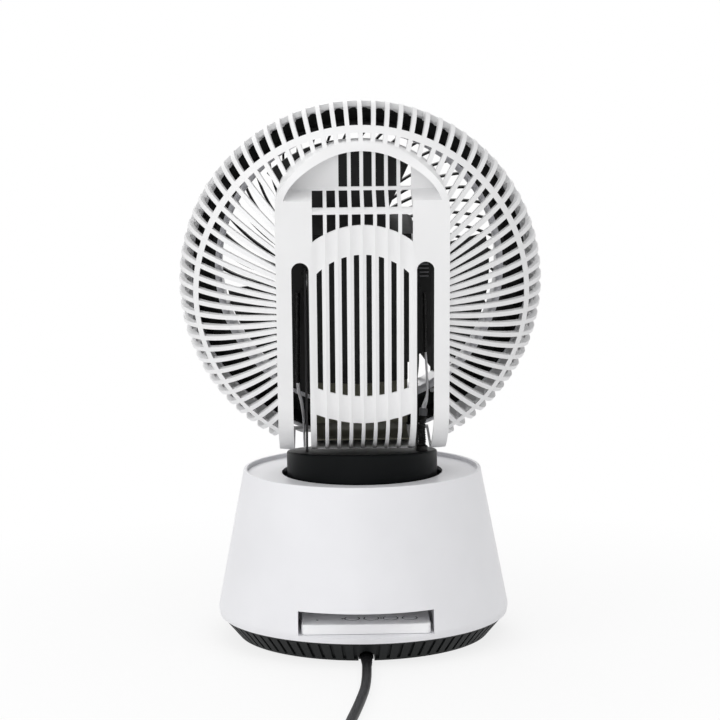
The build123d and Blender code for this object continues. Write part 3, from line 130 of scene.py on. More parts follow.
def plastic(
    name, colour, rough, grain=GRAIN_SCALE, depth=0.00004, drift=0.03, coat=0.0, shine=0.5
):
    # Moulded plastic: a faint drift of colour and gloss over a fine eroded grain
    material, shader = new_material(name)
    tree = material.node_tree
    low = tuple(c * (1 - drift) for c in colour)
    high = tuple(min(1.0, c * (1 + drift)) for c in colour)
    cloud = add_noise(tree, CLOUD_SCALE)
    tree.links.new(ramp(tree, cloud, low, high), shader.inputs["Base Color"])
    smear = add_noise(tree, SMEAR_SCALE, SMEAR_DETAIL, SMEAR_ROUGHNESS)
    gloss = spread(tree, smear, rough * GLOSS_SPREAD[0], rough * GLOSS_SPREAD[1])
    tree.links.new(gloss, shader.inputs["Roughness"])
    add_bump(tree, shader, add_noise(tree, grain, GRAIN_DETAIL), GRAIN_STRENGTH, depth)
    shader.inputs["Coat Weight"].default_value = coat
    shader.inputs["Coat Roughness"].default_value = COAT_ROUGHNESS
    shader.inputs["Specular IOR Level"].default_value = shine
    return material


LINE_SCALE = (900, 900, 60)
CAST_SCALE = (300, 300, 300)
LINE_DETAIL = 4.0
LINE_STRENGTH = 0.2
LINE_DEPTH = 0.00003
LINE_SHADE = 0.86
LINE_SPREAD = (0.8, 1.25)


def metal(name, colour, rough, brushed=True):
    # Brushed metal with fine drawn lines, or a cast or plated one with an even grain
    material, shader = new_material(name)
    tree = material.node_tree
    place = tree.nodes.new("ShaderNodeTexCoord")
    stretch = tree.nodes.new("ShaderNodeMapping")
    stretch.inputs["Scale"].default_value = LINE_SCALE if brushed else CAST_SCALE
    lines = tree.nodes.new("ShaderNodeTexNoise")
    lines.inputs["Scale"].default_value = 1.0
    lines.inputs["Detail"].default_value = LINE_DETAIL
    tree.links.new(place.outputs["Object"], stretch.inputs["Vector"])
    tree.links.new(stretch.outputs["Vector"], lines.inputs["Vector"])
    low = tuple(c * LINE_SHADE for c in colour)
    tree.links.new(ramp(tree, lines.outputs["Fac"], low, colour), shader.inputs["Base Color"])
    gloss = spread(tree, lines.outputs["Fac"], rough * LINE_SPREAD[0], rough * LINE_SPREAD[1])
    tree.links.new(gloss, shader.inputs["Roughness"])
    add_bump(tree, shader, lines.outputs["Fac"], LINE_STRENGTH, LINE_DEPTH)
    shader.inputs["Metallic"].default_value = 1.0
    return material


MATERIALS = {
    "shell_white": plastic("shell_white", (0.86, 0.86, 0.885), 0.42, coat=0.1),
    "guard_white": plastic("guard_white", (0.90, 0.90, 0.905), 0.45),
    "button_white": plastic("button_white", (0.86, 0.86, 0.88), 0.25, coat=0.3),
    "remote_white": plastic("remote_white", (0.96, 0.96, 0.97), 0.4),
    "key_white": plastic("key_white", (0.84, 0.84, 0.86), 0.45),
    "print_grey": plastic("print_grey", (0.03, 0.033, 0.035), 0.6, shine=0.2),
    "duct_white": plastic("duct_white", (0.92, 0.92, 0.97), 0.3, coat=0.2),
    # baffle_grey is painted shade: an olive grey that stands in for white plastic in shadow
    "baffle_grey": plastic("baffle_grey", (0.17, 0.167, 0.125), 0.5, drift=0.10, shine=0.3),
    "collar_grey": plastic("collar_grey", (0.005, 0.006, 0.0065), 0.42, shine=0.10),
    "pan_grey": plastic("pan_grey", (0.013, 0.0145, 0.015), 0.55, shine=0.14),
    "arm_dark": plastic("arm_dark", (0.05, 0.05, 0.052), 0.45, depth=0.00002, shine=0.4),
    "shroud_black": plastic("shroud_black", (0.003, 0.003, 0.003), 0.65),
    "grille_grey": plastic("grille_grey", (0.015, 0.015, 0.015), 0.5),
    "blade_smoke": plastic(
        "blade_smoke", (0.004, 0.004, 0.004), 0.4, depth=0.00001, coat=0.1
    ),
    "frame_grey": plastic("frame_grey", (0.008, 0.008, 0.008), 0.6),
    "cord_black": plastic("cord_black", (0.009, 0.009, 0.010), 0.45, grain=1500.0, shine=0.3),
    "sleeve_black": plastic("sleeve_black", (0.010, 0.0095, 0.009), 0.4, shine=0.4),
    "wire_silver": plastic("wire_silver", (0.93, 0.93, 0.95), 0.3, depth=0.00001),
    "clip_grey": plastic("clip_grey", (0.16, 0.16, 0.17), 0.45),
    "plug_black": plastic("plug_black", (0.012, 0.012, 0.013), 0.5),
    "pad_rubber": plastic("pad_rubber", (0.015, 0.015, 0.015), 0.8),
    "board": plastic("board", (0.01, 0.08, 0.03), 0.5),
    "window_dark": plastic(
        "window_dark", (0.012, 0.006, 0.010), 0.1, depth=0.000005, coat=0.5
    ),
    "motor_steel": metal("motor_steel", (0.30, 0.30, 0.31), 0.45, brushed=False),
    "steel": metal("steel", (0.60, 0.60, 0.61), 0.3),
    "iron": metal("iron", (0.16, 0.16, 0.17), 0.6, brushed=False),
    "pin_brass": metal("pin_brass", (0.70, 0.56, 0.30), 0.25),
}

for part in frame["record"]["subparts"]:
    node = frame["nodes"][part["node"]]
    node.data.materials.clear()
    node.data.materials.append(MATERIALS[part["material_slot"]])

# Frame of the head, as in the solids: x to the right seen from behind, y up, z backwards
TILT = radians(8)
PIVOT_Z = 0.248


def to_head(place):
    rise = place.z - PIVOT_Z
    return (
        -place.x,
        place.y * sin(TILT) + rise * cos(TILT),
        place.y * cos(TILT) - rise * sin(TILT),
    )


def from_head(x, y, z):
    return Vector(
        (
            -x,
            y * sin(TILT) + z * cos(TILT),
            PIVOT_Z + y * cos(TILT) - z * sin(TILT),
        )
    )


HEAD_UP = from_head(0, 1, 0) - from_head(0, 0, 0)
HEAD_BACK = from_head(0, 0, 1) - from_head(0, 0, 0)
SHARP_FROM = radians(32)
WELD = 0.000001


def smooth_by_angle(mesh):
    if "custom_normal" in mesh.attributes:
        mesh.attributes.remove(mesh.attributes["custom_normal"])
    mesh.shade_smooth()
    mesh.set_sharp_from_angle(angle=SHARP_FROM)


def add_piece(name, data, material, body):
    piece = bpy.data.objects.new(name, data)
    bpy.context.scene.collection.objects.link(piece)
    piece.data.materials.clear()
    piece.data.materials.append(MATERIALS[material])
    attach(piece, body)
    return piece


def add_shape(name, shape, material, body):
    mesh = bpy.data.meshes.new(name)
    shape.to_mesh(mesh)
    shape.free()
    smooth_by_angle(mesh)
    return add_piece(name, mesh, material, body)


def skin(shape, rings, closed):
    # Faces from each ring of points to the next, with a cap at both ends of an open row
    for ring, after in zip(rings, rings[1:] + rings[:1] if closed else rings[1:]):
        for j in range(len(ring)):
            k = (j + 1) % len(ring)
            shape.faces.new((ring[j], ring[k], after[k], after[j]))
    if not closed:
        shape.faces.new(rings[0])
        shape.faces.new(rings[-1])
    bmesh.ops.recalc_face_normals(shape, faces=shape.faces)


def reshaped(node, name, material, body, cuts=(), move=None):
    # The node's own mesh, cut across where it is to bend and then moved point by point
    mesh = frame["nodes"][node].data.copy()
    shape = bmesh.new()
    shape.from_mesh(mesh)
    bmesh.ops.remove_doubles(shape, verts=shape.verts, dist=WELD)
    for height in cuts:
        everything = shape.verts[:] + shape.edges[:] + shape.faces[:]
        bmesh.ops.bisect_plane(
            shape, geom=everything, plane_co=from_head(0, height, 0), plane_no=HEAD_UP
        )
    if move:
        for vert in shape.verts:
            vert.co = from_head(*move(*to_head(vert.co)))
    shape.to_mesh(mesh)
    shape.free()
    smooth_by_angle(mesh)
    piece = add_piece(name, mesh, material, body)
    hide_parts(node)
    return piece


# Guard: its rim is wide enough to hold the ribs' ends, and flat where it passes the collar
GUARD_R = 0.125
GUARD_DEPTH = 0.090
RIM_SOLID_R = 0.121
RIM_SOLID_IN_R = 0.118
RIM_BACK_Z = -0.003
RIM_R = 0.1243
RIM_TAPER = 0.105
RIM_IN_R = 0.1205
RIM_FOOT_Y = -0.1184
BAND_IN_R = 0.1096
BAND_OUT_R = 0.1134
BAND_T = 0.0032
BAND_PROUD = 0.0002
RIB_IN_R = 0.1185
RIB_IN_Z = 0.0835
RIB_SHALLOWER = 0.0029
RIB_NEAR = 0.012
RIB_END_GAP = 0.001
NEAR = 0.0001


def dome_z(r):
    return GUARD_DEPTH * sqrt(1 - (r / GUARD_R) ** 2)


BAND_TOP_Z = dome_z(BAND_OUT_R)
BAND_FOOT_Z = BAND_TOP_Z - BAND_T


def fit_guard(x, y, z):
    r = hypot(x, y)
    new_r = r
    on_inner = abs((r / RIB_IN_R) ** 2 + (z / RIB_IN_Z) ** 2 - 1) < RIB_NEAR
    if on_inner and r > NEAR and z > RIM_BACK_Z + RIB_END_GAP:
        # The ribs' inner edges move outwards, which makes the ribs shallower
        wider = (RIB_IN_R + RIB_SHALLOWER) / RIB_IN_R
        return x * wider, y * wider, z * (RIB_IN_Z + RIB_SHALLOWER) / RIB_IN_Z
    if z < NEAR and r > RIM_SOLID_R - NEAR:
        # The rim narrows towards the front, so that it stays inside the solids' height
        new_r = max(r, RIM_R - RIM_TAPER * max(RIM_BACK_Z - z, 0))
    elif abs(z - RIM_BACK_Z) < NEAR and abs(r - RIM_SOLID_IN_R) < NEAR:
        new_r = RIM_IN_R
    elif BAND_FOOT_Z - NEAR < z < BAND_TOP_Z + NEAR:
        if abs(r - BAND_IN_R) < NEAR:
            z += dome_z(BAND_IN_R) - BAND_TOP_Z + BAND_PROUD
        elif abs(r - BAND_OUT_R) < NEAR:
            z += BAND_PROUD
    x *= new_r / r
    y *= new_r / r
    return x, max(y, RIM_FOOT_Y), z


reshaped("rear_guard", "guard_shell", "guard_white", "head", move=fit_guard)

# Spine: a slightly taller arch, and a rounded corner between its face and its foot
FACE_Z = 0.088
SWEEP_R = 0.1164
CORNER_R = 0.030
CORNER_Z = FACE_Z - CORNER_R
CORNER_Y = -sqrt((SWEEP_R - CORNER_R) ** 2 - CORNER_Z**2)
CORNER_TURN = atan2(CORNER_Z, CORNER_Y)
CUT_STEP = 0.0028
CUT_COUNT = 9
CORNER_CUTS = [CORNER_Y - CUT_STEP * i for i in range(CUT_COUNT)]
ARCH_BASE_Y = 0.066
ARCH_RISE = 0.036
ARCH_GROWTH = 0.0026
ARCH_EDGE_DROP = 0.0027


def fit_spine(x, y, z):
    if y > ARCH_BASE_Y:
        share = (y - ARCH_BASE_Y) / ARCH_RISE
        return x, y + ARCH_GROWTH * share, z - ARCH_EDGE_DROP * share**3
    turn = atan2(z - CORNER_Z, y - CORNER_Y)
    if pi / 2 < turn < CORNER_TURN:
        # Distance from the corner's centre to the sharp outline, along this direction
        to_face = CORNER_R / sin(turn)
        along = CORNER_Y * cos(turn) + CORNER_Z * sin(turn)
        centre_r = SWEEP_R - CORNER_R
        to_sweep = -along + sqrt(along**2 + SWEEP_R**2 - centre_r**2)
        pull = CORNER_R / min(to_face, to_sweep)
        return x, CORNER_Y + (y - CORNER_Y) * pull, CORNER_Z + (z - CORNER_Z) * pull
    return x, y, z


reshaped(
    "spine_cover", "spine_shell", "guard_white", "head", CORNER_CUTS, fit_spine
)

# Dark pan, arms and tilt pins, in the shapes of their solids
pan_shell = reshaped("base_pan", "pan_shell", "pan_grey", "base")
reshaped("yoke", "yoke_arms", "arm_dark", "swivel")
reshaped("tilt_pins", "pin_shells", "frame_grey", "head")


EASED = 0.0004


def head_slab(name, outline, back_z, front_z, material, bevel=EASED):
    # A flat piece of the head: an outline in its plane, with some thickness and eased edges
    shape = bmesh.new()
    face = shape.faces.new([shape.verts.new(from_head(x, y, back_z)) for x, y in outline])
    grown = bmesh.ops.extrude_face_region(shape, geom=[face])
    for item in grown["geom"]:
        if isinstance(item, bmesh.types.BMVert):
            item.co += (front_z - back_z) * HEAD_BACK
    bmesh.ops.recalc_face_normals(shape, faces=shape.faces)
    bmesh.ops.bevel(
        shape, geom=shape.edges[:], offset=bevel, segments=2, affect="EDGES", clamp_overlap=True
    )
    add_shape(name, shape, material, "head")


def turned(name, profile, place_of, count, material, body):
    # A turned piece: a closed profile of radius and depth, set in place by place_of
    shape = bmesh.new()
    rings = []
    for i in range(count):
        turn = 2 * pi * i / count
        rings.append(
            [shape.verts.new(place_of(r * cos(turn), r * sin(turn), z)) for r, z in profile]
        )
    skin(shape, rings, closed=True)
    add_shape(name, shape, material, body)


def tube(name, path, radii, material, body, count=20, floor=None):
    # A round piece along a path, with a radius for each of its points
    shape = bmesh.new()
    rings = []
    for i, centre in enumerate(path):
        ahead = path[min(i + 1, len(path) - 1)] - path[max(i - 1, 0)]
        turn = ahead.to_track_quat("Z", "Y")
        ring = []
        for j in range(count):
            angle = 2 * pi * j / count
            place = centre + turn @ Vector((radii[i] * cos(angle), radii[i] * sin(angle), 0))
            if floor is not None:
                place.z = max(place.z, floor)
            ring.append(shape.verts.new(place))
        rings.append(ring)
    skin(shape, rings, closed=False)
    return add_shape(name, shape, material, body)


SLEEVE_PITCH = 0.0017
SMALL = 1e-9


def ribbed(path_points, radius, deep):
    # Points and radii of a corrugated sleeve along a path
    lengths = [0.0]
    for start, end in zip(path_points, path_points[1:]):
        lengths.append(lengths[-1] + (end - start).length)
    count = int(lengths[-1] / SLEEVE_PITCH)
    path = []
    radii = []
    for i in range(2 * count + 1):
        along = lengths[-1] * i / (2 * count)
        k = max(j for j in range(len(lengths) - 1) if lengths[j] <= along + SMALL)
        share = (along - lengths[k]) / (lengths[k + 1] - lengths[k])
        path.append(path_points[k].lerp(path_points[k + 1], share))
        radii.append(radius if i % 2 else radius - deep)
    return path, radii


def millimetres(*places):
    return [Vector(place) / 1000 for place in places]


def round_line(name, places, radius, sides, steps, material, body):
    # A round cord or wire along a smooth curve, with closed ends
    curve = bpy.data.curves.new(name, "CURVE")
    curve.dimensions = "3D"
    curve.bevel_depth = radius
    curve.bevel_resolution = sides
    curve.resolution_u = steps
    curve.use_fill_caps = True
    spline = curve.splines.new("NURBS")
    spline.points.add(len(places) - 1)
    for point, place in zip(spline.points, places):
        point.co = (*place, 1)
    spline.order_u = 3
    spline.use_endpoint_u = True
    return add_piece(name, curve, material, body)


# Pan: its ring of grooves goes on across the back, up to the notch of the cord
PAN_MID_R = 0.0941
PAN_TAPER = 0.0122
GROOVE_STEP = 360 / 78
GROOVE_W = 0.0023
GROOVE_DEEP = 0.0015
GROOVE_SHARE = 0.8
BACK_GROOVES = (-4, -3, -2, -1, 1, 2, 3)
pan_low, pan_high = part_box("base_pan")
pan_tall = pan_high[2] - pan_low[2]
groove_long = GROOVE_SHARE * hypot(PAN_TAPER, pan_tall)
shape = bmesh.new()
for i in BACK_GROOVES:
    place = (
        Matrix.Rotation(radians(90 + GROOVE_STEP * i), 4, "Z")
        @ Matrix.Translation((PAN_MID_R, 0, (pan_low[2] + pan_high[2]) / 2))
        @ Matrix.Rotation(atan2(PAN_TAPER, pan_tall), 4, "Y")
        @ Matrix.Diagonal((2 * GROOVE_DEEP, GROOVE_W, groove_long, 1))
    )
    bmesh.ops.create_cube(shape, size=1, matrix=place)
mesh = bpy.data.meshes.new("pan_cutter")
shape.to_mesh(mesh)
shape.free()
cutter = bpy.data.objects.new("pan_cutter", mesh)
bpy.context.scene.collection.objects.link(cutter)
carve = pan_shell.modifiers.new("grooves", "BOOLEAN")
carve.operation = "DIFFERENCE"
carve.solver = "EXACT"
carve.object = cutter
carved = bpy.data.meshes.new_from_object(
    pan_shell.evaluated_get(bpy.context.evaluated_depsgraph_get())
)
pan_shell.modifiers.clear()
pan_shell.data = carved
smooth_by_angle(carved)
bpy.data.objects.remove(cutter)
bpy.data.meshes.remove(mesh)

# Duct: a dark flange outside its bright lip, held by six screws
FLANGE = [
    (0.1014, -0.0361),
    (0.1014, -0.0374),
    (0.1052, -0.0374),
    (0.1060, -0.0369),
    (0.1058, -0.0360),
    (0.1050, -0.0356),
]
# Shroud: a dark skirt inside the bezel's wall
SKIRT = [(0.1159, -0.0438), (0.1168, -0.0205), (0.1160, -0.0203), (0.1151, -0.0438)]
RING_POINTS = 144
for name, profile in (("duct_flange", FLANGE), ("shroud_skirt", SKIRT)):
    turned(name, profile, from_head, RING_POINTS, "shroud_black", "head")

SCREW_COUNT = 6
SCREW_RING_R = 0.1036
SCREW_FOOT_Z = -0.0360
# Height above the foot and radius, up the screw's head and down into its recess
SCREW_STEPS = (
    (0, 0.0018),
    (0.0009, 0.0018),
    (0.0013, 0.0014),
    (0.0013, 0.0007),
    (0.0007, 0.0006),
)
for i in range(SCREW_COUNT):
    turn = 2 * pi * i / SCREW_COUNT
    foot = from_head(SCREW_RING_R * cos(turn), SCREW_RING_R * sin(turn), SCREW_FOOT_Z)
    tube(
        f"flange_screw_{i + 1}",
        [foot + height * HEAD_BACK for height, radius in SCREW_STEPS],
        [radius for height, radius in SCREW_STEPS],
        "steel",
        "head",
    )

# Apron that hangs from the motor's frame over the top of the baffle
APRON_HALF = 0.0332
APRON_TOP_Y = -0.0430
APRON_FOOT_Y = -0.0772
APRON_BACK_Z = -0.0085
APRON_FRONT_Z = -0.0100
APRON_LEFT_RISE = 0.0015
APRON_RIGHT_RISE = 0.0030
APRON = [
    (-APRON_HALF, APRON_TOP_Y),
    (-APRON_HALF, APRON_FOOT_Y + APRON_LEFT_RISE),
    (0, APRON_FOOT_Y),
    (APRON_HALF, APRON_FOOT_Y + APRON_RIGHT_RISE),
    (APRON_HALF, APRON_TOP_Y),
]
head_slab("frame_apron", APRON, APRON_BACK_Z, APRON_FRONT_Z, "frame_grey")

# Foot of the baffle: a curved plate that lines the foot of the spine, about the tilt axis. Its
# olive grey is painted shade, standing in for white plastic in shadow.
LINING_R = 0.1106
LINING_T = 0.0010
LINING_HALF = 0.0325
LINING_FRONT = radians(-23)
LINING_BACK = radians(10.5)
LINING_STEPS = 24
LINING = (
    (-LINING_HALF, LINING_R),
    (LINING_HALF, LINING_R),
    (LINING_HALF, LINING_R - LINING_T),
    (-LINING_HALF, LINING_R - LINING_T),
)
shape = bmesh.new()
rings = []
for i in range(LINING_STEPS + 1):
    turn = LINING_FRONT + (LINING_BACK - LINING_FRONT) * i / LINING_STEPS
    rings.append(
        [shape.verts.new((x, r * sin(turn), PIVOT_Z - r * cos(turn))) for x, r in LINING]
    )
skin(shape, rings, closed=False)
add_shape("baffle_foot_painted_shade", shape, "baffle_grey", "head")

# Dark plates beside the motor's frame, seen through the side slots of the spine, with fins on
# one. The plates are painted shade: dark sheets that stand in for the shade inside the slots.
PLATE_TOP_Y = 0.0390
PLATE_BACK_Z = -0.0118
PLATE_FRONT_Z = -0.0132
for side, x_in, x_out, foot_in, foot_out in (
    ("left", -0.0350, -0.0500, -0.0860, -0.0795),
    ("right", 0.0350, 0.0500, -0.0620, -0.0500),
):
    outline = [(x_in, foot_in), (x_out, foot_out), (x_out, PLATE_TOP_Y), (x_in, PLATE_TOP_Y)]
    head_slab(f"painted_shade_plate_{side}", outline, PLATE_BACK_Z, PLATE_FRONT_Z, "frame_grey")
FIN_COUNT = 13
FIN_PITCH = 0.0028
FIN_T = 0.0010
FIN_TOP_Y = 0.0340
FIN_IN_X = 0.0400
FIN_OUT_X = 0.0480
FIN_BACK_Z = -0.0108
FIN_FRONT_Z = -0.0120
FIN_EASED = 0.0002
for i in range(FIN_COUNT):
    y = FIN_TOP_Y - FIN_PITCH * i
    outline = [(FIN_IN_X, y), (FIN_OUT_X, y), (FIN_OUT_X, y - FIN_T), (FIN_IN_X, y - FIN_T)]
    head_slab(f"side_fin_{i + 1}", outline, FIN_BACK_Z, FIN_FRONT_Z, "clip_grey", FIN_EASED)

# Wires beside the arms of the yoke, in corrugated sleeves above; their places are in millimetres
LEFT_SLEEVE = millimetres((43.6, -6, 239), (43.9, -6, 215), (44.1, -6, 195), (44.3, -7, 176))
RIGHT_SLEEVE = millimetres((-44.4, 0, 239), (-44.6, 3, 218), (-44.7, 5, 197))
LEFT_SLEEVE_R = 0.0019
LEFT_RIB_DEEP = 0.0004
RIGHT_SLEEVE_R = 0.0014
RIGHT_RIB_DEEP = 0.0003
WIRE_SLEEVE_POINTS = 14
for side, places, radius, deep in (
    ("left", LEFT_SLEEVE, LEFT_SLEEVE_R, LEFT_RIB_DEEP),
    ("right", RIGHT_SLEEVE, RIGHT_SLEEVE_R, RIGHT_RIB_DEEP),
):
    path, radii = ribbed(places, radius, deep)
    tube(
        f"{side}_sleeve",
        path,
        radii,
        "sleeve_black",
        "swivel",
        count=WIRE_SLEEVE_POINTS,
    )
WIRE_R = 0.0008
WIRE_SIDES = 3
WIRE_STEPS = 8
WIRE_SPACING = 1.7
WIRES_PER_SIDE = 2
for i in range(WIRES_PER_SIDE):
    lean = WIRE_SPACING * i
    left_places = millimetres(
        (40.1, -6 + lean, 131),
        (40.2, -6 + lean, 146),
        (40.5 + lean / 2, -7, 157),
        (41.8 + lean / 2, -7, 165),
        (43.8 + lean / 2, -7, 171.5),
        (43.7 + lean / 2, -7, 177.5),
    )
    right_places = millimetres(
        (-41.8 - lean, 15.2, 159.2),
        (-42.0 - lean, 14.5, 161.5),
        (-43.2 - lean, 12.5, 164.0),
        (-45.0 - lean / 3, 10 - lean, 168.0),
        (-45.6, 9 - lean, 171),
        (-45.6, 8 - lean, 182),
        (-44.7, 5 - lean / 2, 198),
    )
    for side, places in (("left", left_places), ("right", right_places)):
        round_line(
            f"{side}_wire_{i + 1}",
            places,
            WIRE_R,
            WIRE_SIDES,
            WIRE_STEPS,
            "wire_silver",
            "swivel",
        )

# Cable sleeve: corrugated, slightly bent, with a round foot and a clip that holds the wires
CABLE_SLEEVE = millimetres(
    (-41.0, 15.5, 130.6),
    (-41.4, 15.5, 138),
    (-41.0, 15.5, 145),
    (-41.2, 15.5, 150),
    (-42.2, 15.5, 156),
)
CABLE_SLEEVE_R = 0.0029
CABLE_RIB_DEEP = 0.0005
SLEEVE_FOOT = millimetres((-41.3, 15.5, 130.3), (-41.3, 15.5, 133.6), (-41.3, 15.5, 134.2))
SLEEVE_FOOT_RADII = [0.0041, 0.0041, 0.0035]
SLEEVE_FOOT_POINTS = 28
CLIP = millimetres(
    (-41.9, 15.5, 154.6), (-42.0, 15.5, 155.2), (-42.5, 15.2, 159.6), (-42.6, 15.2, 160.2)
)
CLIP_RADII = [0.0026, 0.0031, 0.0031, 0.0026]
CLIP_POINTS = 8
path, radii = ribbed(CABLE_SLEEVE, CABLE_SLEEVE_R, CABLE_RIB_DEEP)
sleeve = tube("sleeve_ribs", path, radii, "sleeve_black", "swivel")
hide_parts("cable_sleeve")
tube(
    "sleeve_foot",
    SLEEVE_FOOT,
    SLEEVE_FOOT_RADII,
    "sleeve_black",
    "swivel",
    count=SLEEVE_FOOT_POINTS,
)
tube(
    "sleeve_clip", CLIP, CLIP_RADII, "clip_grey", "swivel", count=CLIP_POINTS
)

# Strain relief of the cord, flat where it would reach below the floor
RELIEF_L = 0.024
RELIEF_R = 0.0044
RELIEF_TAPER = 0.0010
RELIEF_GROOVE = 0.0004
RELIEF_STEPS = 16
RELIEF_PITCH = 4
RELIEF_FOOT_Z = 0.0001
relief_path = []
relief_radii = []
for i in range(RELIEF_STEPS + 1):
    along = i / RELIEF_STEPS
    relief_path.append(Vector((0, GLAND_Y + RELIEF_L * along, CORD_Z)))
    grooved = i % RELIEF_PITCH == RELIEF_PITCH - 1
    relief_radii.append(RELIEF_R - RELIEF_TAPER * along - (RELIEF_GROOVE if grooved else 0))
tube(
    "cord_relief",
    relief_path,
    relief_radii,
    "cord_black",
    "base",
    floor=RELIEF_FOOT_Z,
)

# Printed rings round the remote's keys, and small marks beside them
remote_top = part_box("remote_body")[1][2]
PRINT_FOOT = -0.0001
PRINT_T = 0.00006
KEY_RING_IN_R = 0.00465
KEY_RING_OUT_R = 0.00530
KEY_RING_POINTS = 40
MARK_IN_R = 0.0002
MARK_OUT_R = 0.0009
MARK_POINTS = 12
MARK_FROM_KEY = 0.0064
FAR_MARK_X = 0.0325
FAR_MARK_RISE = 0.003


def print_ring(name, centre, inner, outer, count):
    profile = ((inner, PRINT_FOOT), (outer, PRINT_FOOT), (outer, PRINT_T), (inner, PRINT_T))
    turned(
        name,
        profile,
        lambda x, y, z: (centre[0] + x, centre[1] + y, remote_top + z),
        count,
        "print_grey",
        "remote",
    )


key_places = []
for i in range(4):
    low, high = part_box(f"remote_key_{i + 1}")
    key_places.append(((low[0] + high[0]) / 2, (low[1] + high[1]) / 2))
key_places.sort()
for i, centre in enumerate(key_places):
    print_ring(f"key_ring_{i + 1}", centre, KEY_RING_IN_R, KEY_RING_OUT_R, KEY_RING_POINTS)
key_x, key_y = key_places[-1]
mark_places = (
    (key_x + MARK_FROM_KEY, key_y),
    ((key_places[1][0] + key_places[2][0]) / 2, key_y),
    (FAR_MARK_X, key_y + FAR_MARK_RISE),
)
for i, centre in enumerate(mark_places):
    print_ring(f"remote_mark_{i + 1}", centre, MARK_IN_R, MARK_OUT_R, MARK_POINTS)

# Cord: the solid's route on the floor, then the turns of its coil
ROUTE = [(0, GLAND_Y), (0, 0.140), (0.007, 0.196), (0.016, 0.250)]
COIL_X = 0.016
TURN_POINTS = 7
POLYGON_GROWTH = 1 / cos(pi / 2 / TURN_POINTS)


def coil_points():
    # Half turns that spiral in, climb one layer at the inside and spiral out
    inward = [(COIL_IN_R + LOOP_STEP / 2 * i, 0.0, 0.0) for i in reversed(range(COIL_ROUNDS))]
    climb = [(COIL_IN_R - LOOP_STEP / 2, 0.0, 1.0)]
    outward = [(COIL_IN_R + LOOP_STEP / 2 * i, 1.0, 1.0) for i in range(COIL_ROUNDS + 1)]
    points = []
    x = COIL_X
    heading = 1
    for radius, start, end in inward + climb + outward:
        middle = x - heading * radius
        for i in range(TURN_POINTS):
            share = (i + 0.5) / TURN_POINTS
            reach = radius * POLYGON_GROWTH
            level = start + (end - start) * share
            points.append(
                (
                    middle + heading * reach * cos(pi * share),
                    COIL_Y + heading * reach * sin(pi * share),
                    CORD_Z + LOOP_STEP * level,
                )
            )
        x = x - heading * 2 * radius
        heading = -heading
    return points, x


turns, coil_end_x = coil_points()
cord_points = [(x, y, CORD_Z) for x, y in ROUTE]
cord_points.append((COIL_X, COIL_Y - 2 * CORD_R, CORD_Z))
cord_points.extend(turns)
cord_points.append((coil_end_x, COIL_Y + COIL_TAIL / 2, CORD_Z + LOOP_STEP))
cord_points.append((coil_end_x, COIL_Y + COIL_TAIL, CORD_Z + LOOP_STEP))

CORD_SIDES = 5
CORD_STEPS = 6
mains_cord = round_line(
    "mains_cord", cord_points, CORD_R, CORD_SIDES, CORD_STEPS, "cord_black", "base"
)
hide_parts("cord", "cord_coil")

# Floor: plain and pale, and white at a distance for the camera, so that it has no horizon
FLOOR_HALF = 6.0
FLOOR_NEAR = 0.10
FLOOR_FAR = 0.45
FLOOR_GLOW = 0.80
FLOOR_COLOUR = (0.86, 0.86, 0.86, 1)
FLOOR_ROUGHNESS = 0.9
floor_mesh = bpy.data.meshes.new("floor")
floor_mesh.from_pydata(
    [
        (-FLOOR_HALF, -FLOOR_HALF, 0),
        (FLOOR_HALF, -FLOOR_HALF, 0),
        (FLOOR_HALF, FLOOR_HALF, 0),
        (-FLOOR_HALF, FLOOR_HALF, 0),
    ],
    [],
    [(0, 1, 2, 3)],
)
floor = bpy.data.objects.new("floor", floor_mesh)
bpy.context.scene.collection.objects.link(floor)
floor_material, floor_shader = new_material("floor_white")
tree = floor_material.node_tree


def calculated(operation, first, second):
    node = tree.nodes.new("ShaderNodeMath")
    node.operation = operation
    tree.links.new(first, node.inputs[0])
    tree.links.new(second, node.inputs[1])
    return node.outputs["Value"]


floor_shader.inputs["Base Color"].default_value = FLOOR_COLOUR
floor_shader.inputs["Roughness"].default_value = FLOOR_ROUGHNESS
glow = tree.nodes.new("ShaderNodeEmission")
glow.inputs["Strength"].default_value = 1.0
place = tree.nodes.new("ShaderNodeTexCoord")
distance = tree.nodes.new("ShaderNodeVectorMath")
distance.operation = "LENGTH"
fade = tree.nodes.new("ShaderNodeMapRange")
fade.inputs["From Min"].default_value = FLOOR_NEAR
fade.inputs["From Max"].default_value = FLOOR_FAR
fade.inputs["To Min"].default_value = FLOOR_GLOW
fade.inputs["To Max"].default_value = 1.0
tree.links.new(place.outputs["Object"], distance.inputs[0])
tree.links.new(distance.outputs["Value"], fade.inputs["Value"])
rays = tree.nodes.new("ShaderNodeLightPath").outputs
seen = calculated("MAXIMUM", rays["Is Camera Ray"], rays["Is Glossy Ray"])
seen = calculated("MAXIMUM", seen, rays["Is Transmission Ray"])
seen = calculated("MULTIPLY", seen, fade.outputs["Result"])
share = tree.nodes.new("ShaderNodeMixShader")
tree.links.new(seen, share.inputs["Fac"])
tree.links.new(floor_shader.outputs["BSDF"], share.inputs[1])
tree.links.new(glow.outputs["Emission"], share.inputs[2])
tree.links.new(share.outputs["Shader"], tree.nodes["Material Output"].inputs["Surface"])
floor.data.materials.append(floor_material)

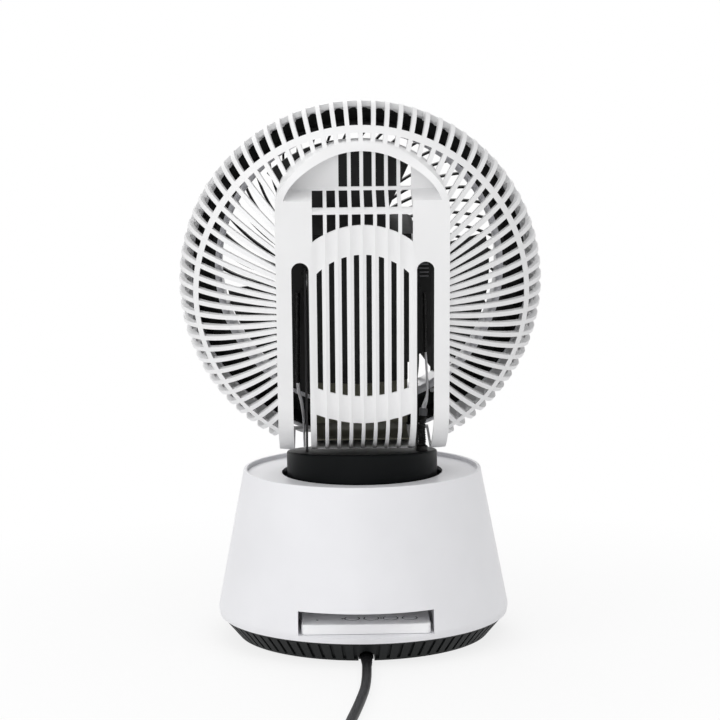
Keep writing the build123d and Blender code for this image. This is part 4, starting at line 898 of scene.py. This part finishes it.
# Light: a white world, dimmer on the object than to the camera, and four soft lamps
WORLD_LIGHT = 0.64
world = bpy.data.worlds.new("studio")
bpy.context.scene.world = world
world.use_nodes = True
tree = world.node_tree
background = tree.nodes["Background"]
rays = tree.nodes.new("ShaderNodeLightPath").outputs
strength = tree.nodes.new("ShaderNodeMapRange")
strength.inputs["To Min"].default_value = WORLD_LIGHT
strength.inputs["To Max"].default_value = 1.0
tree.links.new(rays["Is Camera Ray"], strength.inputs["Value"])
tree.links.new(strength.outputs["Result"], background.inputs["Strength"])
background.inputs["Color"].default_value = (1, 1, 1, 1)


def softbox(name, place, target, size, power):
    lamp_data = bpy.data.lights.new(name, "AREA")
    lamp_data.shape = "SQUARE"
    lamp_data.size = size
    lamp_data.energy = power
    lamp = bpy.data.objects.new(name, lamp_data)
    lamp.location = place
    aim = Vector(target) - Vector(place)
    lamp.rotation_euler = aim.to_track_quat("-Z", "Y").to_euler()
    bpy.context.scene.collection.objects.link(lamp)


softbox("key_lamp", (1.5, 1.0, 1.3), (0, 0, 0.2), 1.1, 8.5)
softbox("top_lamp", (-0.5, 0.8, 2.0), (0, 0, 0.1), 1.2, 6)
softbox("back_lamp", (0.5, 2.0, 0.75), (0, 0, 0.12), 0.9, 4.5)
softbox("front_lamp", (0.3, -1.6, 1.0), (0, 0, 0.2), 1.0, 6)

# Camera
camera_data = bpy.data.cameras.new("camera")
camera_data.lens = CAMERA_LENS
camera_data.sensor_width = CAMERA_SENSOR
camera_data.shift_x = CAMERA_SHIFT
camera_data.clip_start = CAMERA_CLIP
camera = bpy.data.objects.new("camera", camera_data)
around = Matrix.Rotation(radians(-CAMERA_TURN), 4, "Z")
stand = Matrix.Translation((0, CAMERA_FAR, CAMERA_HIGH))
look = Matrix.Rotation(pi, 4, "Z") @ Matrix.Rotation(radians(90 - CAMERA_PITCH), 4, "X")
camera.matrix_world = around @ stand @ look @ Matrix.Rotation(radians(CAMERA_ROLL), 4, "Z")
bpy.context.scene.collection.objects.link(camera)
bpy.context.scene.camera = camera
bpy.context.scene.view_settings.view_transform = "Standard"
